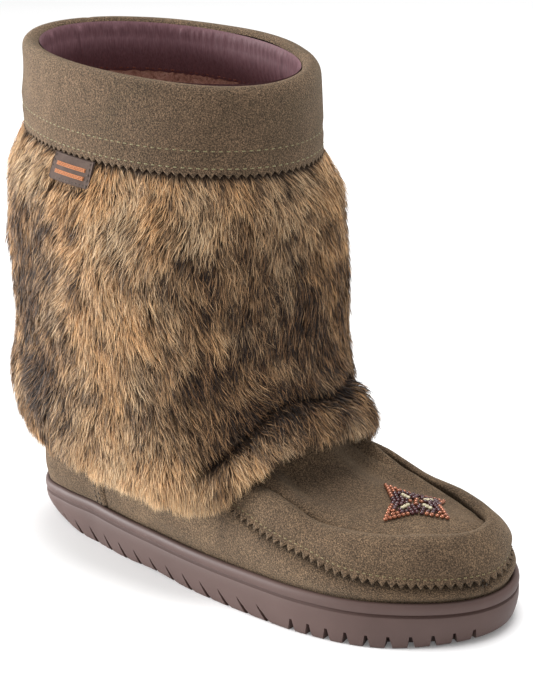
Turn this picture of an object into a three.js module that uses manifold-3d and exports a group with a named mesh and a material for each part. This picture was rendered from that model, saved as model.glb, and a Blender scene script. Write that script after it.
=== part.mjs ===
// Mukluk boot for the right foot: a suede foot and shaft on a rubber sole, with a padded cuff,
// a fur sleeve around the shaft and a bead star on the instep.
// Millimetres, +Z up, +X to the toe, +Y to the inner side of the foot.
import * as THREE from 'three';
import { mergeVertices } from 'three/addons/utils/BufferGeometryUtils.js';
import Module from 'manifold-3d';

const wasm = await Module();
wasm.setup();

// Driving sizes of the sole
const SOLE_LENGTH = 280;
const BALL_WIDTH = 101;
const HEEL_END_RADIUS = 40;
const TOE_END_RADIUS = 31;
const TOE_SWING = 6.4;
const SOLE_HEIGHT = 21.5;
const FOOTBED_HEIGHT = 14;
const LIP_WIDTH = 3.2;
const GROOVE_HEIGHT = 16;
const GROOVE_DEPTH = 1.5;
const EDGE_ROUND = 1;
const TOE_SPRING = 1.8;
const HEEL_BEVEL = 1.5;
const ARCH_LIFT = 1.2;
const NOTCH_PITCH = 9.1;
const NOTCH_WIDTH = 4.4;
const NOTCH_HEIGHT = 4.8;
const NOTCH_DEPTH = 7;
const SLASH_PITCH = 12.6;
const SLASH_HEIGHT = 7.5;
const SLASH_DEPTH = 4;
const CHANNEL_DEPTH = 2.6;
const CHANNEL_WIDTH = 3.2;

// Driving sizes of the upper
const WALL = 2.4;
const GAP = 0.3;
const TOE_HEIGHT = 48;
const INSTEP_HEIGHT = 101;
const COLLAR_HEIGHT = 246.5;
const COLLAR_SLOPE = 0.096;
const SHAFT_LENGTH = 157;
const SHAFT_WIDTH = 110;
const SHAFT_SETBACK = 48;
const INSOLE_THICKNESS = 6;

// Driving sizes of what is laid over the upper
const VAMP_GAP = 0.5;
const VAMP_THICKNESS = 1.6;
const COUNTER_THICKNESS = 1.2;
const COUNTER_REACH = 69;
const COUNTER_HEIGHT = 46;
const CUFF_DEPTH = 40;
const CUFF_THICKNESS = 3.4;
const RIM_WIDTH = 10;
const RIM_HEIGHT = 9;
const LINING_THICKNESS = 3;
const FUR_DEPTH = 13.5;
const HEM_HEIGHT = 58;
const HEM_CLEARANCE = 1;
const LOCK_LENGTH = 38;
const LOCK_WIDTH = 14;
const LOCK_RISE = 3.6;
const LABEL_WIDTH = 25;
const LABEL_HEIGHT = 11;
const LABEL_TURN = -1.59;
const LABEL_THICKNESS = 1.2;
const STAR_THICKNESS = 1.8;
const STAR_SETBACK = 47.4;
const STAR_SHIFT = 3.6;
const STAR_WAIST = 9.5;

// Sides of every ring of the boot, counted from the toe point round the inner side and the heel
const RING_SIDES = 48;

const HALF_LENGTH = SOLE_LENGTH / 2;
const LIP_CLEARANCE = 0.4;
const FIT_INSET = LIP_WIDTH + LIP_CLEARANCE;
const UPPER_RISE = TOE_HEIGHT - SOLE_HEIGHT;
const CUFF_LEVEL = COLLAR_HEIGHT - CUFF_DEPTH;

// Half widths of the sole, as shares of the ball width, at shares of half the length from its middle
const OUTLINE = [
  { at: -0.89, lateral: 0.320, medial: 0.320 },
  { at: -0.74, lateral: 0.386, medial: 0.382 },
  { at: -0.53, lateral: 0.412, medial: 0.392 },
  { at: -0.25, lateral: 0.462, medial: 0.386 },
  { at: 0.0, lateral: 0.494, medial: 0.402 },
  { at: 0.26, lateral: 0.503, medial: 0.466 },
  { at: 0.5, lateral: 0.490, medial: 0.492 },
  { at: 0.73, lateral: 0.428, medial: 0.428 },
  { at: 0.89, lateral: 0.292, medial: 0.292 },
];

// Wall of the foot, row by row. Insets are shares of the ball width inwards from the fit line,
// heights are shares of the rise of the toe above the sole.
const FOOT_ROWS = [
  { name: 'swell', toeInset: -0.007, heelInset: -0.012, toe: 0.26, ball: 0.26, instep: 0.30, heel: 0.30 },
  { name: 'wall', toeInset: 0.003, heelInset: -0.004, toe: 0.53, ball: 0.54, instep: 0.68, heel: 0.75 },
  { name: 'shoulder', toeInset: 0.026, heelInset: 0.006, toe: 0.77, ball: 0.79, instep: 1.00, heel: 1.10 },
  { name: 'crown', toeInset: 0.062, heelInset: 0.017, toe: 0.94, ball: 0.99, instep: 1.27, heel: 1.32 },
  { name: 'fall', toeInset: 0.092, heelInset: 0.025, toe: 0.94, ball: 1.01, instep: 1.35, heel: 1.48 },
  { name: 'crease', toeInset: 0.118, heelInset: 0.032, toe: 0.84, ball: 0.93, instep: 1.32, heel: 1.62 },
  { name: 'plug edge', toeInset: 0.142, heelInset: 0.039, toe: 0.89, ball: 1.00, instep: 1.41, heel: 1.76 },
];
const FOOT_STATIONS = [
  { at: -1, column: 'heel' },
  { at: -0.5, column: 'heel' },
  { at: 0.28, column: 'instep' },
  { at: 0.55, column: 'ball' },
  { at: 0.85, column: 'toe' },
  { at: 1, column: 'toe' },
];
const FOOT_FRONT = { from: -0.12, to: 0.34 };
// The roll lies lower along the inner side of the toe, about one turn; rows below the shoulder stay
const INNER_DROP = 4;
const INNER_DROP_TURN = 0.56;
const INNER_DROP_SPREAD = 0.36;

// Climb of the instep from the plug edge to the ankle, as shares of its run and of its rise
const INSTEP_ROWS = [
  { run: 0.216, rise: 0.066 },
  { run: 0.443, rise: 0.105 },
  { run: 0.648, rise: 0.180 },
  { run: 0.807, rise: 0.310 },
  { run: 0.909, rise: 0.530 },
  { run: 0.970, rise: 0.795 },
];

// Sections of the shaft at shares of the collar height, as shares of the shaft's own sizes
const SHAFT_ROWS = [
  { at: 0.412, length: 1.000, width: 0.990, setback: 1.00, slope: 0.35 },
  { at: 0.600, length: 0.995, width: 1.000, setback: 1.00, slope: 0.60 },
  { at: 0.840, length: 0.990, width: 1.010, setback: 0.97, slope: 1.00 },
  { at: 0.963, length: 0.962, width: 0.975, setback: 0.94, slope: 1.00 },
  { at: 1.000, length: 0.958, width: 0.970, setback: 0.94, slope: 1.00 },
];
const SHAFT_STEPS = [0, 0.14, 0.34, 0.57, 0.8, 1];
const COLLAR_EDGE = 0.963;

// Where the ankle's ring meets the foot's rings: turns in degrees, so that the instep runs
// straight back from the plug and does not fold along its sides
const ANKLE_TURNS = [
  { foot: 0, ankle: 0 },
  { foot: 40, ankle: 11 },
  { foot: 60, ankle: 19 },
  { foot: 75, ankle: 33 },
  { foot: 90, ankle: 57 },
  { foot: 112, ankle: 88 },
  { foot: 138, ankle: 124 },
  { foot: 180, ankle: 180 },
];

// Pinked edge of the vamp: shares of the toe's rise above the sole, at shares of half the length
const VAMP_EDGE = [
  { at: 0.08, height: 1.10 },
  { at: 0.2, height: 0.96 },
  { at: 0.335, height: 0.76 },
  { at: 0.5, height: 0.59 },
  { at: 0.62, height: 0.44 },
  { at: 0.82, height: 0.32 },
  { at: 1, height: 0.275 },
];
const VAMP_COLUMNS = 11;
const VAMP_TOP = 12;

// Fur: reach of its surface from the shaft as shares of the fur depth, at shares of the way down
const FUR_ROWS = [
  { down: 0.00, rear: 0.20, side: 0.20, corner: 0.20, front: 0.20 },
  { down: 0.06, rear: 0.48, side: 0.46, corner: 0.46, front: 0.46 },
  { down: 0.15, rear: 0.78, side: 0.72, corner: 0.72, front: 0.72 },
  { down: 0.32, rear: 1.00, side: 0.80, corner: 0.82, front: 0.84 },
  { down: 0.52, rear: 1.03, side: 0.84, corner: 0.84, front: 0.84 },
  { down: 0.70, rear: 1.06, side: 0.86, corner: 0.86, front: 0.90 },
  { down: 0.84, rear: 1.16, side: 0.94, corner: 1.14, front: 1.60 },
  { down: 0.93, rear: 1.12, side: 0.98, corner: 1.42, front: 2.20 },
  { down: 1.00, rear: 0.86, side: 0.76, corner: 1.20, front: 2.10 },
];
const FUR_COLUMNS = [
  { at: 0, column: 'front' },
  { at: Math.PI / 4, column: 'corner' },
  { at: Math.PI / 2, column: 'side' },
  { at: Math.PI, column: 'rear' },
];
// Hem of the fur: its height as a share of the hem height, by degrees from the toe
const HEM = [
  { degrees: 0, height: 1.28 },
  { degrees: 18, height: 1.20 },
  { degrees: 32, height: 0.94 },
  { degrees: 46, height: 0.80 },
  { degrees: 65, height: 0.84 },
  { degrees: 95, height: 0.93 },
  { degrees: 130, height: 1.00 },
  { degrees: 180, height: 1.04 },
];
// Rows of locks: how far down the fur they start, how many go round, their lean and their size
const LOCK_ROWS = [
  { down: 0.10, count: 11, lean: 0.10, size: 1.0 },
  { down: 0.36, count: 12, lean: 0.14, size: 1.0 },
  { down: 0.58, count: 12, lean: 0.12, size: 1.0 },
  { down: 0.84, count: 25, lean: 0.05, size: 0.82 },
];

// Arms of the bead star: degrees from the toe's direction and reach
const STAR_ARMS = [
  { degrees: -3, reach: 18.5 },
  { degrees: 77, reach: 15.5 },
  { degrees: 173, reach: 20 },
  { degrees: 267, reach: 19.5 },
];

// Value of one column of a table at a place between its rows, with no overshoot
function lookUp(rows, column, key, place) {
  const last = rows.length - 1;
  if (place <= rows[0][key]) {
    return rows[0][column];
  }
  if (place >= rows[last][key]) {
    return rows[last][column];
  }
  const slope = (i) => (rows[i + 1][column] - rows[i][column]) / (rows[i + 1][key] - rows[i][key]);
  const tangent = (i) => {
    if (i === 0 || i === last) {
      return i === 0 ? slope(0) : slope(last - 1);
    }
    const before = slope(i - 1);
    const after = slope(i);
    return before * after <= 0 ? 0 : 2 * before * after / (before + after);
  };
  const i = rows.findIndex((row, index) => index < last && place < rows[index + 1][key]);
  const span = rows[i + 1][key] - rows[i][key];
  const t = (place - rows[i][key]) / span;
  const t2 = t * t;
  const t3 = t2 * t;
  return rows[i][column] * (2 * t3 - 3 * t2 + 1)
    + rows[i + 1][column] * (3 * t2 - 2 * t3)
    + tangent(i) * span * (t3 - 2 * t2 + t)
    + tangent(i + 1) * span * (t3 - t2);
}

// Fullness of the outline: half width divided by the sine of the turn, so that the ends are round
function fullnessTable(side) {
  const inner = OUTLINE.map((row) => ({
    at: row.at,
    fullness: row[side] * BALL_WIDTH / Math.sqrt(1 - row.at * row.at),
  }));
  return [
    { at: -1, fullness: Math.sqrt(HEEL_END_RADIUS * HALF_LENGTH) },
    ...inner,
    { at: 1, fullness: Math.sqrt(TOE_END_RADIUS * HALF_LENGTH) },
  ];
}
const LATERAL_FULLNESS = fullnessTable('lateral');
const MEDIAL_FULLNESS = fullnessTable('medial');

// Point of the sole's outline at a turn about its middle: 0 is the toe, positive is the inner side
function outlinePoint(turn) {
  const at = Math.cos(turn);
  const rows = Math.sin(turn) >= 0 ? MEDIAL_FULLNESS : LATERAL_FULLNESS;
  const swing = TOE_SWING * THREE.MathUtils.smoothstep(at, 0.4, 1);
  return new THREE.Vector2(at * HALF_LENGTH, swing + Math.sin(turn) * lookUp(rows, 'fullness', 'at', at));
}

// The outline set in by a distance measured square to it
function insetOutline(turn, inset) {
  const step = 0.01;
  const along = outlinePoint(turn + step).sub(outlinePoint(turn - step)).normalize();
  const inward = new THREE.Vector2(-along.y, along.x);
  return outlinePoint(turn).addScaledVector(inward, inset);
}

// Turn at which the outline reaches a share of half the length, on the inner side
function turnAt(at) {
  return Math.acos(THREE.MathUtils.clamp(at, -1, 1));
}

// Point of the shaft at a turn and a level of its centre, moved outwards by a distance
function shaftPoint(turn, level, outward) {
  const place = level / COLLAR_HEIGHT;
  const half = lookUp(SHAFT_ROWS, 'length', 'at', place) * SHAFT_LENGTH / 2;
  const wide = lookUp(SHAFT_ROWS, 'width', 'at', place) * SHAFT_WIDTH / 2;
  const back = lookUp(SHAFT_ROWS, 'setback', 'at', place) * SHAFT_SETBACK;
  const slope = lookUp(SHAFT_ROWS, 'slope', 'at', place) * COLLAR_SLOPE;
  const x = half * Math.cos(turn);
  const y = wide * Math.sin(turn);
  const normal = new THREE.Vector2(Math.cos(turn) / half, Math.sin(turn) / wide).normalize();
  return new THREE.Vector3(
    x - back + normal.x * outward,
    y + normal.y * outward,
    level - slope * x,
  );
}

// Point of one row of the foot's wall
function footPoint(turn, row) {
  const at = Math.cos(turn);
  const front = THREE.MathUtils.smoothstep(at, FOOT_FRONT.from, FOOT_FRONT.to);
  const inset = THREE.MathUtils.lerp(row.heelInset, row.toeInset, front) * BALL_WIDTH;
  const stations = FOOT_STATIONS.map((station) => ({ at: station.at, height: row[station.column] }));
  const height = SOLE_HEIGHT + UPPER_RISE * lookUp(stations, 'height', 'at', at);
  const plan = insetOutline(turn, FIT_INSET + inset);
  const away = Math.atan2(Math.sin(turn - INNER_DROP_TURN), Math.cos(turn - INNER_DROP_TURN));
  const drop = INNER_DROP * Math.exp(-((away / INNER_DROP_SPREAD) ** 2));
  return new THREE.Vector3(plan.x, plan.y, height - drop * THREE.MathUtils.smoothstep(row.toe, 0.5, 0.82));
}

// Turn on the ankle's ring that belongs to a turn on the foot's rings
function ankleTurn(turn) {
  const wrapped = Math.atan2(Math.sin(turn), Math.cos(turn));
  const degrees = THREE.MathUtils.radToDeg(Math.abs(wrapped));
  return Math.sign(wrapped) * THREE.MathUtils.degToRad(lookUp(ANKLE_TURNS, 'ankle', 'foot', degrees));
}

// The skin's knots, from the seat in the sole to the collar's edge
const SEAT_ROWS = 2;
const PLUG_EDGE = SEAT_ROWS + FOOT_ROWS.length - 1;
const ANKLE = PLUG_EDGE + INSTEP_ROWS.length + 1;
const COLLAR = ANKLE + SHAFT_STEPS.length - 1;

function knotPoint(turn, index) {
  const knot = THREE.MathUtils.clamp(index, 0, COLLAR);
  if (knot < SEAT_ROWS) {
    const plan = insetOutline(turn, FIT_INSET);
    return new THREE.Vector3(plan.x, plan.y, knot === 0 ? FOOTBED_HEIGHT + GAP : SOLE_HEIGHT);
  }
  if (knot <= PLUG_EDGE) {
    return footPoint(turn, FOOT_ROWS[knot - SEAT_ROWS]);
  }
  if (knot < ANKLE) {
    const row = INSTEP_ROWS[knot - PLUG_EDGE - 1];
    const start = footPoint(turn, FOOT_ROWS[FOOT_ROWS.length - 1]);
    const end = shaftPoint(ankleTurn(turn), INSTEP_HEIGHT, 0);
    return new THREE.Vector3(
      THREE.MathUtils.lerp(start.x, end.x, row.run),
      THREE.MathUtils.lerp(start.y, end.y, row.run),
      THREE.MathUtils.lerp(start.z, end.z, row.rise),
    );
  }
  const step = SHAFT_STEPS[knot - ANKLE];
  const wrapped = Math.atan2(Math.sin(turn), Math.cos(turn));
  const eased = THREE.MathUtils.lerp(ankleTurn(turn), wrapped, Math.min(1, step / SHAFT_STEPS[3]));
  return shaftPoint(eased, THREE.MathUtils.lerp(INSTEP_HEIGHT, COLLAR_EDGE * COLLAR_HEIGHT, step), 0);
}

// Outer skin of the upper: a smooth curve through the knots at each turn
function skinPoint(turn, level) {
  const place = THREE.MathUtils.clamp(level, 0, COLLAR);
  const knot = Math.min(Math.floor(place), COLLAR - 1);
  const t = place - knot;
  const points = [-1, 0, 1, 2].map((offset) => knotPoint(turn, knot + offset));
  const curve = (axis) => {
    const [a, b, c, d] = points.map((point) => point[axis]);
    return b + 0.5 * t * (c - a + t * (2 * a - 5 * b + 4 * c - d + t * (3 * (b - c) + d - a)));
  };
  return new THREE.Vector3(curve('x'), curve('y'), curve('z'));
}

// The skin moved outwards, square to itself
function skinOffset(turn, level, outward) {
  const turnStep = 0.02;
  const levelStep = 0.05;
  const around = skinPoint(turn + turnStep, level).sub(skinPoint(turn - turnStep, level));
  const upward = skinPoint(turn, level + levelStep).sub(skinPoint(turn, level - levelStep));
  const normal = around.cross(upward).normalize();
  if (level < 1) {
    normal.setZ(0).normalize();
  }
  return skinPoint(turn, level).addScaledVector(normal, outward);
}

// Level at which the skin reaches a height, searched upwards on the foot's wall
function levelAtHeight(turn, height) {
  let low = 1;
  let high = SEAT_ROWS + 3;
  for (let step = 0; step < 24; step += 1) {
    const middle = (low + high) / 2;
    if (skinPoint(turn, middle).z < height) {
      low = middle;
    } else {
      high = middle;
    }
  }
  return (low + high) / 2;
}

function ringTurn(index) {
  return (index / RING_SIDES) * 2 * Math.PI;
}

function ringOf(pointAt) {
  return Array.from({ length: RING_SIDES }, (unused, index) => pointAt(ringTurn(index)));
}

// Closed geometry from points and triangles, with its faces turned outwards
function closedGeometry(points, triangles) {
  const positions = points.flatMap((point) => [point.x, point.y, point.z]);
  const geometry = new THREE.BufferGeometry();
  geometry.setAttribute('position', new THREE.Float32BufferAttribute(positions, 3));
  const volume = triangles.reduce((sum, [a, b, c]) => (
    sum + points[a].dot(new THREE.Vector3().crossVectors(points[b], points[c]))
  ), 0);
  const ordered = volume < 0 ? triangles.map(([a, b, c]) => [a, c, b]) : triangles;
  geometry.setIndex(ordered.flat());
  geometry.computeVertexNormals();
  return geometry;
}

function stripBetween(triangles, first, second, sides) {
  for (let i = 0; i < sides; i += 1) {
    const next = (i + 1) % sides;
    triangles.push([first + i, first + next, second + next]);
    triangles.push([first + i, second + next, second + i]);
  }
}

// A hollow form: rings joined one to the next, and the last to the first
function loopOfRings(rings) {
  const triangles = [];
  rings.forEach((ring, index) => {
    const next = (index + 1) % rings.length;
    stripBetween(triangles, index * RING_SIDES, next * RING_SIDES, RING_SIDES);
  });
  return closedGeometry(rings.flat(), triangles);
}

// A full form: rings joined one to the next, its ends closed by straight strips across
function stackOfRings(rings) {
  const triangles = [];
  for (let index = 0; index < rings.length - 1; index += 1) {
    stripBetween(triangles, index * RING_SIDES, (index + 1) * RING_SIDES, RING_SIDES);
  }
  const half = RING_SIDES / 2;
  const cap = (start, flip) => {
    for (let i = 0; i < half; i += 1) {
      const near = start + i;
      const nearNext = start + i + 1;
      const far = start + (RING_SIDES - i) % RING_SIDES;
      const farNext = start + RING_SIDES - i - 1;
      const faces = [[near, farNext, nearNext], [near, far, farNext]];
      faces.filter(([a, b, c]) => a !== b && b !== c && a !== c).forEach(([a, b, c]) => {
        triangles.push(flip ? [a, c, b] : [a, b, c]);
      });
    }
  };
  cap(0, false);
  cap((rings.length - 1) * RING_SIDES, true);
  return closedGeometry(rings.flat(), triangles);
}

// A sheet with thickness: two grids of points, one over the other, closed round their edges
function sheetBetween(under, over) {
  const rows = under.length;
  const columns = under[0].length;
  const points = [...under.flat(), ...over.flat()];
  const shift = rows * columns;
  const at = (row, column) => row * columns + column;
  const triangles = [];
  for (let row = 0; row < rows - 1; row += 1) {
    for (let column = 0; column < columns - 1; column += 1) {
      const [a, b, c, d] = [at(row, column), at(row, column + 1), at(row + 1, column + 1), at(row + 1, column)];
      triangles.push([a, c, b], [a, d, c]);
      triangles.push([a + shift, b + shift, c + shift], [a + shift, c + shift, d + shift]);
    }
  }
  const edge = [];
  for (let column = 0; column < columns - 1; column += 1) {
    edge.push(at(0, column));
  }
  for (let row = 0; row < rows - 1; row += 1) {
    edge.push(at(row, columns - 1));
  }
  for (let column = columns - 1; column > 0; column -= 1) {
    edge.push(at(rows - 1, column));
  }
  for (let row = rows - 1; row > 0; row -= 1) {
    edge.push(at(row, 0));
  }
  edge.forEach((point, index) => {
    const next = edge[(index + 1) % edge.length];
    triangles.push([point, next, next + shift], [point, next + shift, point + shift]);
  });
  return closedGeometry(points, triangles);
}

function solidOf(geometry) {
  const bare = geometry.clone();
  bare.deleteAttribute('normal');
  bare.deleteAttribute('uv');
  const merged = mergeVertices(bare, 1e-4);
  return new wasm.Manifold(new wasm.Mesh({
    numProp: 3,
    vertProperties: new Float32Array(merged.attributes.position.array),
    triVerts: new Uint32Array(merged.index.array),
  }));
}

function geometryOf(solid) {
  const mesh = solid.getMesh();
  const geometry = new THREE.BufferGeometry();
  geometry.setAttribute('position', new THREE.BufferAttribute(new Float32Array(mesh.vertProperties), 3));
  geometry.setIndex(new THREE.BufferAttribute(new Uint32Array(mesh.triVerts), 1));
  geometry.computeVertexNormals();
  return geometry;
}

// Outsole

// How far the tread lies above the floor at a share of half the length
function treadLift(at) {
  const toe = Math.max(0, (at - 0.72) / 0.28);
  const heel = Math.max(0, (-0.92 - at) / 0.08);
  const arch = Math.max(0, 1 - Math.abs(at + 0.2) / 0.2);
  return TOE_SPRING * toe * toe + HEEL_BEVEL * heel + ARCH_LIFT * THREE.MathUtils.smoothstep(arch, 0, 1);
}

// Side of the sole from the tread up to the lip and down to the footbed
const SOLE_SIDE = [
  { inset: EDGE_ROUND, height: 0, lift: 1 },
  { inset: 0.2, height: EDGE_ROUND, lift: 1 },
  { inset: 0.2, height: GROOVE_HEIGHT - GROOVE_DEPTH, lift: 0 },
  { inset: 0.2 + GROOVE_DEPTH, height: GROOVE_HEIGHT, lift: 0 },
  { inset: 0.2, height: GROOVE_HEIGHT + 0.8, lift: 0 },
  { inset: 0, height: (GROOVE_HEIGHT + SOLE_HEIGHT) / 2 + 0.6, lift: 0 },
  { inset: LIP_WIDTH * 0.28, height: SOLE_HEIGHT - 0.3, lift: 0 },
  { inset: LIP_WIDTH * 0.6, height: SOLE_HEIGHT, lift: 0 },
  { inset: LIP_WIDTH, height: SOLE_HEIGHT - 0.5, lift: 0 },
  { inset: LIP_WIDTH, height: FOOTBED_HEIGHT, lift: 0 },
];

function soleBody() {
  return stackOfRings(SOLE_SIDE.map((row) => ringOf((turn) => {
    const plan = insetOutline(turn, row.inset);
    return new THREE.Vector3(plan.x, plan.y, row.height + row.lift * treadLift(Math.cos(turn)));
  })));
}

// A cutter with its outline in the plane of the sole's side, pushed inwards from outside it
function sideCutter(turn, outline, depth) {
  const start = -2;
  const shape = new THREE.Shape(outline.map(([along, height]) => new THREE.Vector2(along, height)));
  const geometry = new THREE.ExtrudeGeometry(shape, { depth: depth - start, bevelEnabled: false });
  const step = 0.01;
  const side = Math.sin(turn) >= 0 ? 1 : -1;
  const ahead = outlinePoint(turn - side * step).sub(outlinePoint(turn + side * step)).normalize();
  const inward = new THREE.Vector2(-ahead.y, ahead.x).multiplyScalar(-side);
  const place = outlinePoint(turn).addScaledVector(inward, start);
  const basis = new THREE.Matrix4().makeBasis(
    new THREE.Vector3(ahead.x, ahead.y, 0),
    new THREE.Vector3(0, 0, 1),
    new THREE.Vector3(inward.x, inward.y, 0),
  );
  basis.setPosition(place.x, place.y, 0);
  geometry.applyMatrix4(basis);
  return basis.determinant() < 0 ? turnedInsideOut(geometry) : geometry;
}

function turnedInsideOut(geometry) {
  const bare = geometry.index ? geometry.toNonIndexed() : geometry;
  const position = bare.attributes.position;
  for (let i = 0; i < position.count; i += 3) {
    const [x, y, z] = [position.getX(i + 1), position.getY(i + 1), position.getZ(i + 1)];
    position.setXYZ(i + 1, position.getX(i + 2), position.getY(i + 2), position.getZ(i + 2));
    position.setXYZ(i + 2, x, y, z);
  }
  return bare;
}

// Turns on one side where marks of one pitch stand along the outline between two shares
function pitchTurns(from, to, pitch) {
  const turns = [];
  let travelled = pitch;
  let previous = outlinePoint(turnAt(from));
  const steps = 600;
  for (let i = 0; i <= steps; i += 1) {
    const turn = THREE.MathUtils.lerp(turnAt(from), turnAt(to), i / steps);
    const point = outlinePoint(turn);
    travelled += point.distanceTo(previous);
    previous = point;
    if (travelled >= pitch) {
      turns.push(turn);
      travelled -= pitch;
    }
  }
  return turns;
}

const TREAD = { slashFrom: -0.9, slashTo: 0.4, notchFrom: 0.45, notchTo: 0.985 };

function outsoleGeometry() {
  let sole = solidOf(soleBody());
  const below = -1;
  const notch = [
    [-NOTCH_WIDTH / 2, below],
    [NOTCH_WIDTH / 2, below],
    [NOTCH_WIDTH * 0.08, NOTCH_HEIGHT],
    [-NOTCH_WIDTH * 0.08, NOTCH_HEIGHT],
  ];
  const slash = [
    [-SLASH_HEIGHT * 0.75, SLASH_HEIGHT],
    [-SLASH_HEIGHT * 0.36, SLASH_HEIGHT * 0.36],
    [SLASH_HEIGHT * 0.4, below],
    [SLASH_HEIGHT * 0.8, below],
    [-SLASH_HEIGHT * 0.12, SLASH_HEIGHT * 0.4],
  ];
  const cutters = [];
  for (const side of [1, -1]) {
    pitchTurns(TREAD.notchFrom, TREAD.notchTo, NOTCH_PITCH).forEach((turn) => {
      const lift = treadLift(Math.cos(turn));
      const raised = notch.map(([along, height]) => [along, height > 0 ? height + lift : height]);
      cutters.push(sideCutter(side * turn, raised, NOTCH_DEPTH));
    });
    pitchTurns(TREAD.slashFrom, TREAD.slashTo, SLASH_PITCH).forEach((turn) => {
      cutters.push(sideCutter(side * turn, slash, SLASH_DEPTH));
    });
  }
  cutters.push(...channelCutters());
  cutters.forEach((cutter) => {
    sole = sole.subtract(solidOf(cutter));
  });
  return geometryOf(sole);
}

// Channels across the tread, between the lugs of the forefoot and of the heel
const CHANNELS = [
  { from: 0.06, to: 0.66, count: 6 },
  { from: -0.84, to: -0.5, count: 4 },
];

function channelCutters() {
  return CHANNELS.flatMap(({ from, to, count }) => Array.from({ length: count }, (unused, index) => {
    const at = THREE.MathUtils.lerp(from, to, index / (count - 1));
    const margin = NOTCH_DEPTH + CHANNEL_WIDTH;
    const inner = insetOutline(turnAt(at), margin);
    const outer = insetOutline(-turnAt(at), margin);
    const box = new THREE.BoxGeometry(CHANNEL_WIDTH, inner.y - outer.y, CHANNEL_DEPTH * 2);
    box.translate(at * HALF_LENGTH, (inner.y + outer.y) / 2, 0);
    return box;
  }));
}

// Insole: a cushioned footbed inside the wall of the upper
function insoleGeometry() {
  const inset = FIT_INSET + WALL + LIP_CLEARANCE;
  const base = FOOTBED_HEIGHT + GAP;
  const rows = [
    { inset, height: base },
    { inset, height: base + INSOLE_THICKNESS * 0.7 },
    { inset: inset + INSOLE_THICKNESS * 0.5, height: base + INSOLE_THICKNESS },
  ];
  return stackOfRings(rows.map((row) => ringOf((turn) => {
    const plan = insetOutline(turn, row.inset);
    return new THREE.Vector3(plan.x, plan.y, row.height);
  })));
}

// Upper: one hollow wall from its seat in the sole to the collar
const ROLL_TOP = SEAT_ROWS + 2.7;
const UPPER_OUTER = [
  0, 1, 2, 3, 4, ROLL_TOP, 5.3, 6, 6.6, 7, 7.6, 8.4, 9.4, 10.4, 11.3, 12, 12.7, 13.5, 14.4, ANKLE, ANKLE + 2,
];
const UPPER_INNER = [
  ANKLE + 2, ANKLE, 13, 11.3, 9.4, 7.6, 6.6, 5.3, 4, 2.6, 1, 0,
];

// Levels where the cuff's skirt and the shaft under it both have a ring
const CUFFED_LEVELS = [0, 0.5, 1].map((share) => (
  THREE.MathUtils.lerp(CUFF_LEVEL, COLLAR_EDGE * COLLAR_HEIGHT, share)
));

function shaftRing(level, outward) {
  return ringOf((turn) => shaftPoint(turn, level, outward));
}

function upperGeometry() {
  const outer = UPPER_OUTER.map((level) => ringOf((turn) => skinPoint(turn, level)));
  const inner = UPPER_INNER.map((level) => ringOf((turn) => skinOffset(turn, level, -WALL)));
  const rise = CUFFED_LEVELS.map((level) => shaftRing(level, 0));
  const fall = [...CUFFED_LEVELS].reverse().map((level) => shaftRing(level, -WALL));
  return loopOfRings([...outer, ...rise, ...fall, ...inner]);
}

// Vamp: a sheet lapped over the toe and the instep, with its lower edge above the side band
const VAMP_ROWS = [ROLL_TOP, 5.3, 6, 6.6, 7, 7.6, 8.4, 9.4, 10.4, 11.3, VAMP_TOP];

function vampEdgeLevel(turn) {
  const height = SOLE_HEIGHT + UPPER_RISE * lookUp(VAMP_EDGE, 'height', 'at', Math.cos(turn));
  return levelAtHeight(turn, height);
}

function vampGrid(outward) {
  const columns = Array.from({ length: VAMP_COLUMNS * 2 + 1 }, (unused, index) => ringTurn(index - VAMP_COLUMNS));
  const aboveEdge = 0.1;
  const lower = [0, 3, 4].map((ring, row) => columns.map((turn) => (
    skinOffset(turn, Math.max(vampEdgeLevel(turn) + row * aboveEdge, ring), outward)
  )));
  return [...lower, ...VAMP_ROWS.map((level) => columns.map((turn) => skinOffset(turn, level, outward)))];
}

function vampGeometry() {
  return sheetBetween(vampGrid(VAMP_GAP), vampGrid(VAMP_GAP + VAMP_THICKNESS));
}

// Heel counter: a sheet round the back of the heel
function counterGeometry() {
  const reach = Math.round((Math.PI - turnAt(-COUNTER_REACH / HALF_LENGTH)) / ringTurn(1));
  const columns = reach * 2;
  const rows = 5;
  const grid = (outward) => Array.from({ length: rows + 1 }, (unusedRow, row) => (
    Array.from({ length: columns + 1 }, (unusedColumn, column) => {
      const turn = Math.PI + ringTurn(column - reach);
      const bottom = levelAtHeight(turn, SOLE_HEIGHT + GAP);
      const top = levelAtHeight(turn, COUNTER_HEIGHT);
      return skinOffset(turn, THREE.MathUtils.lerp(bottom, top, row / rows), outward);
    })
  ));
  return sheetBetween(grid(GAP), grid(GAP + COUNTER_THICKNESS));
}

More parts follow.
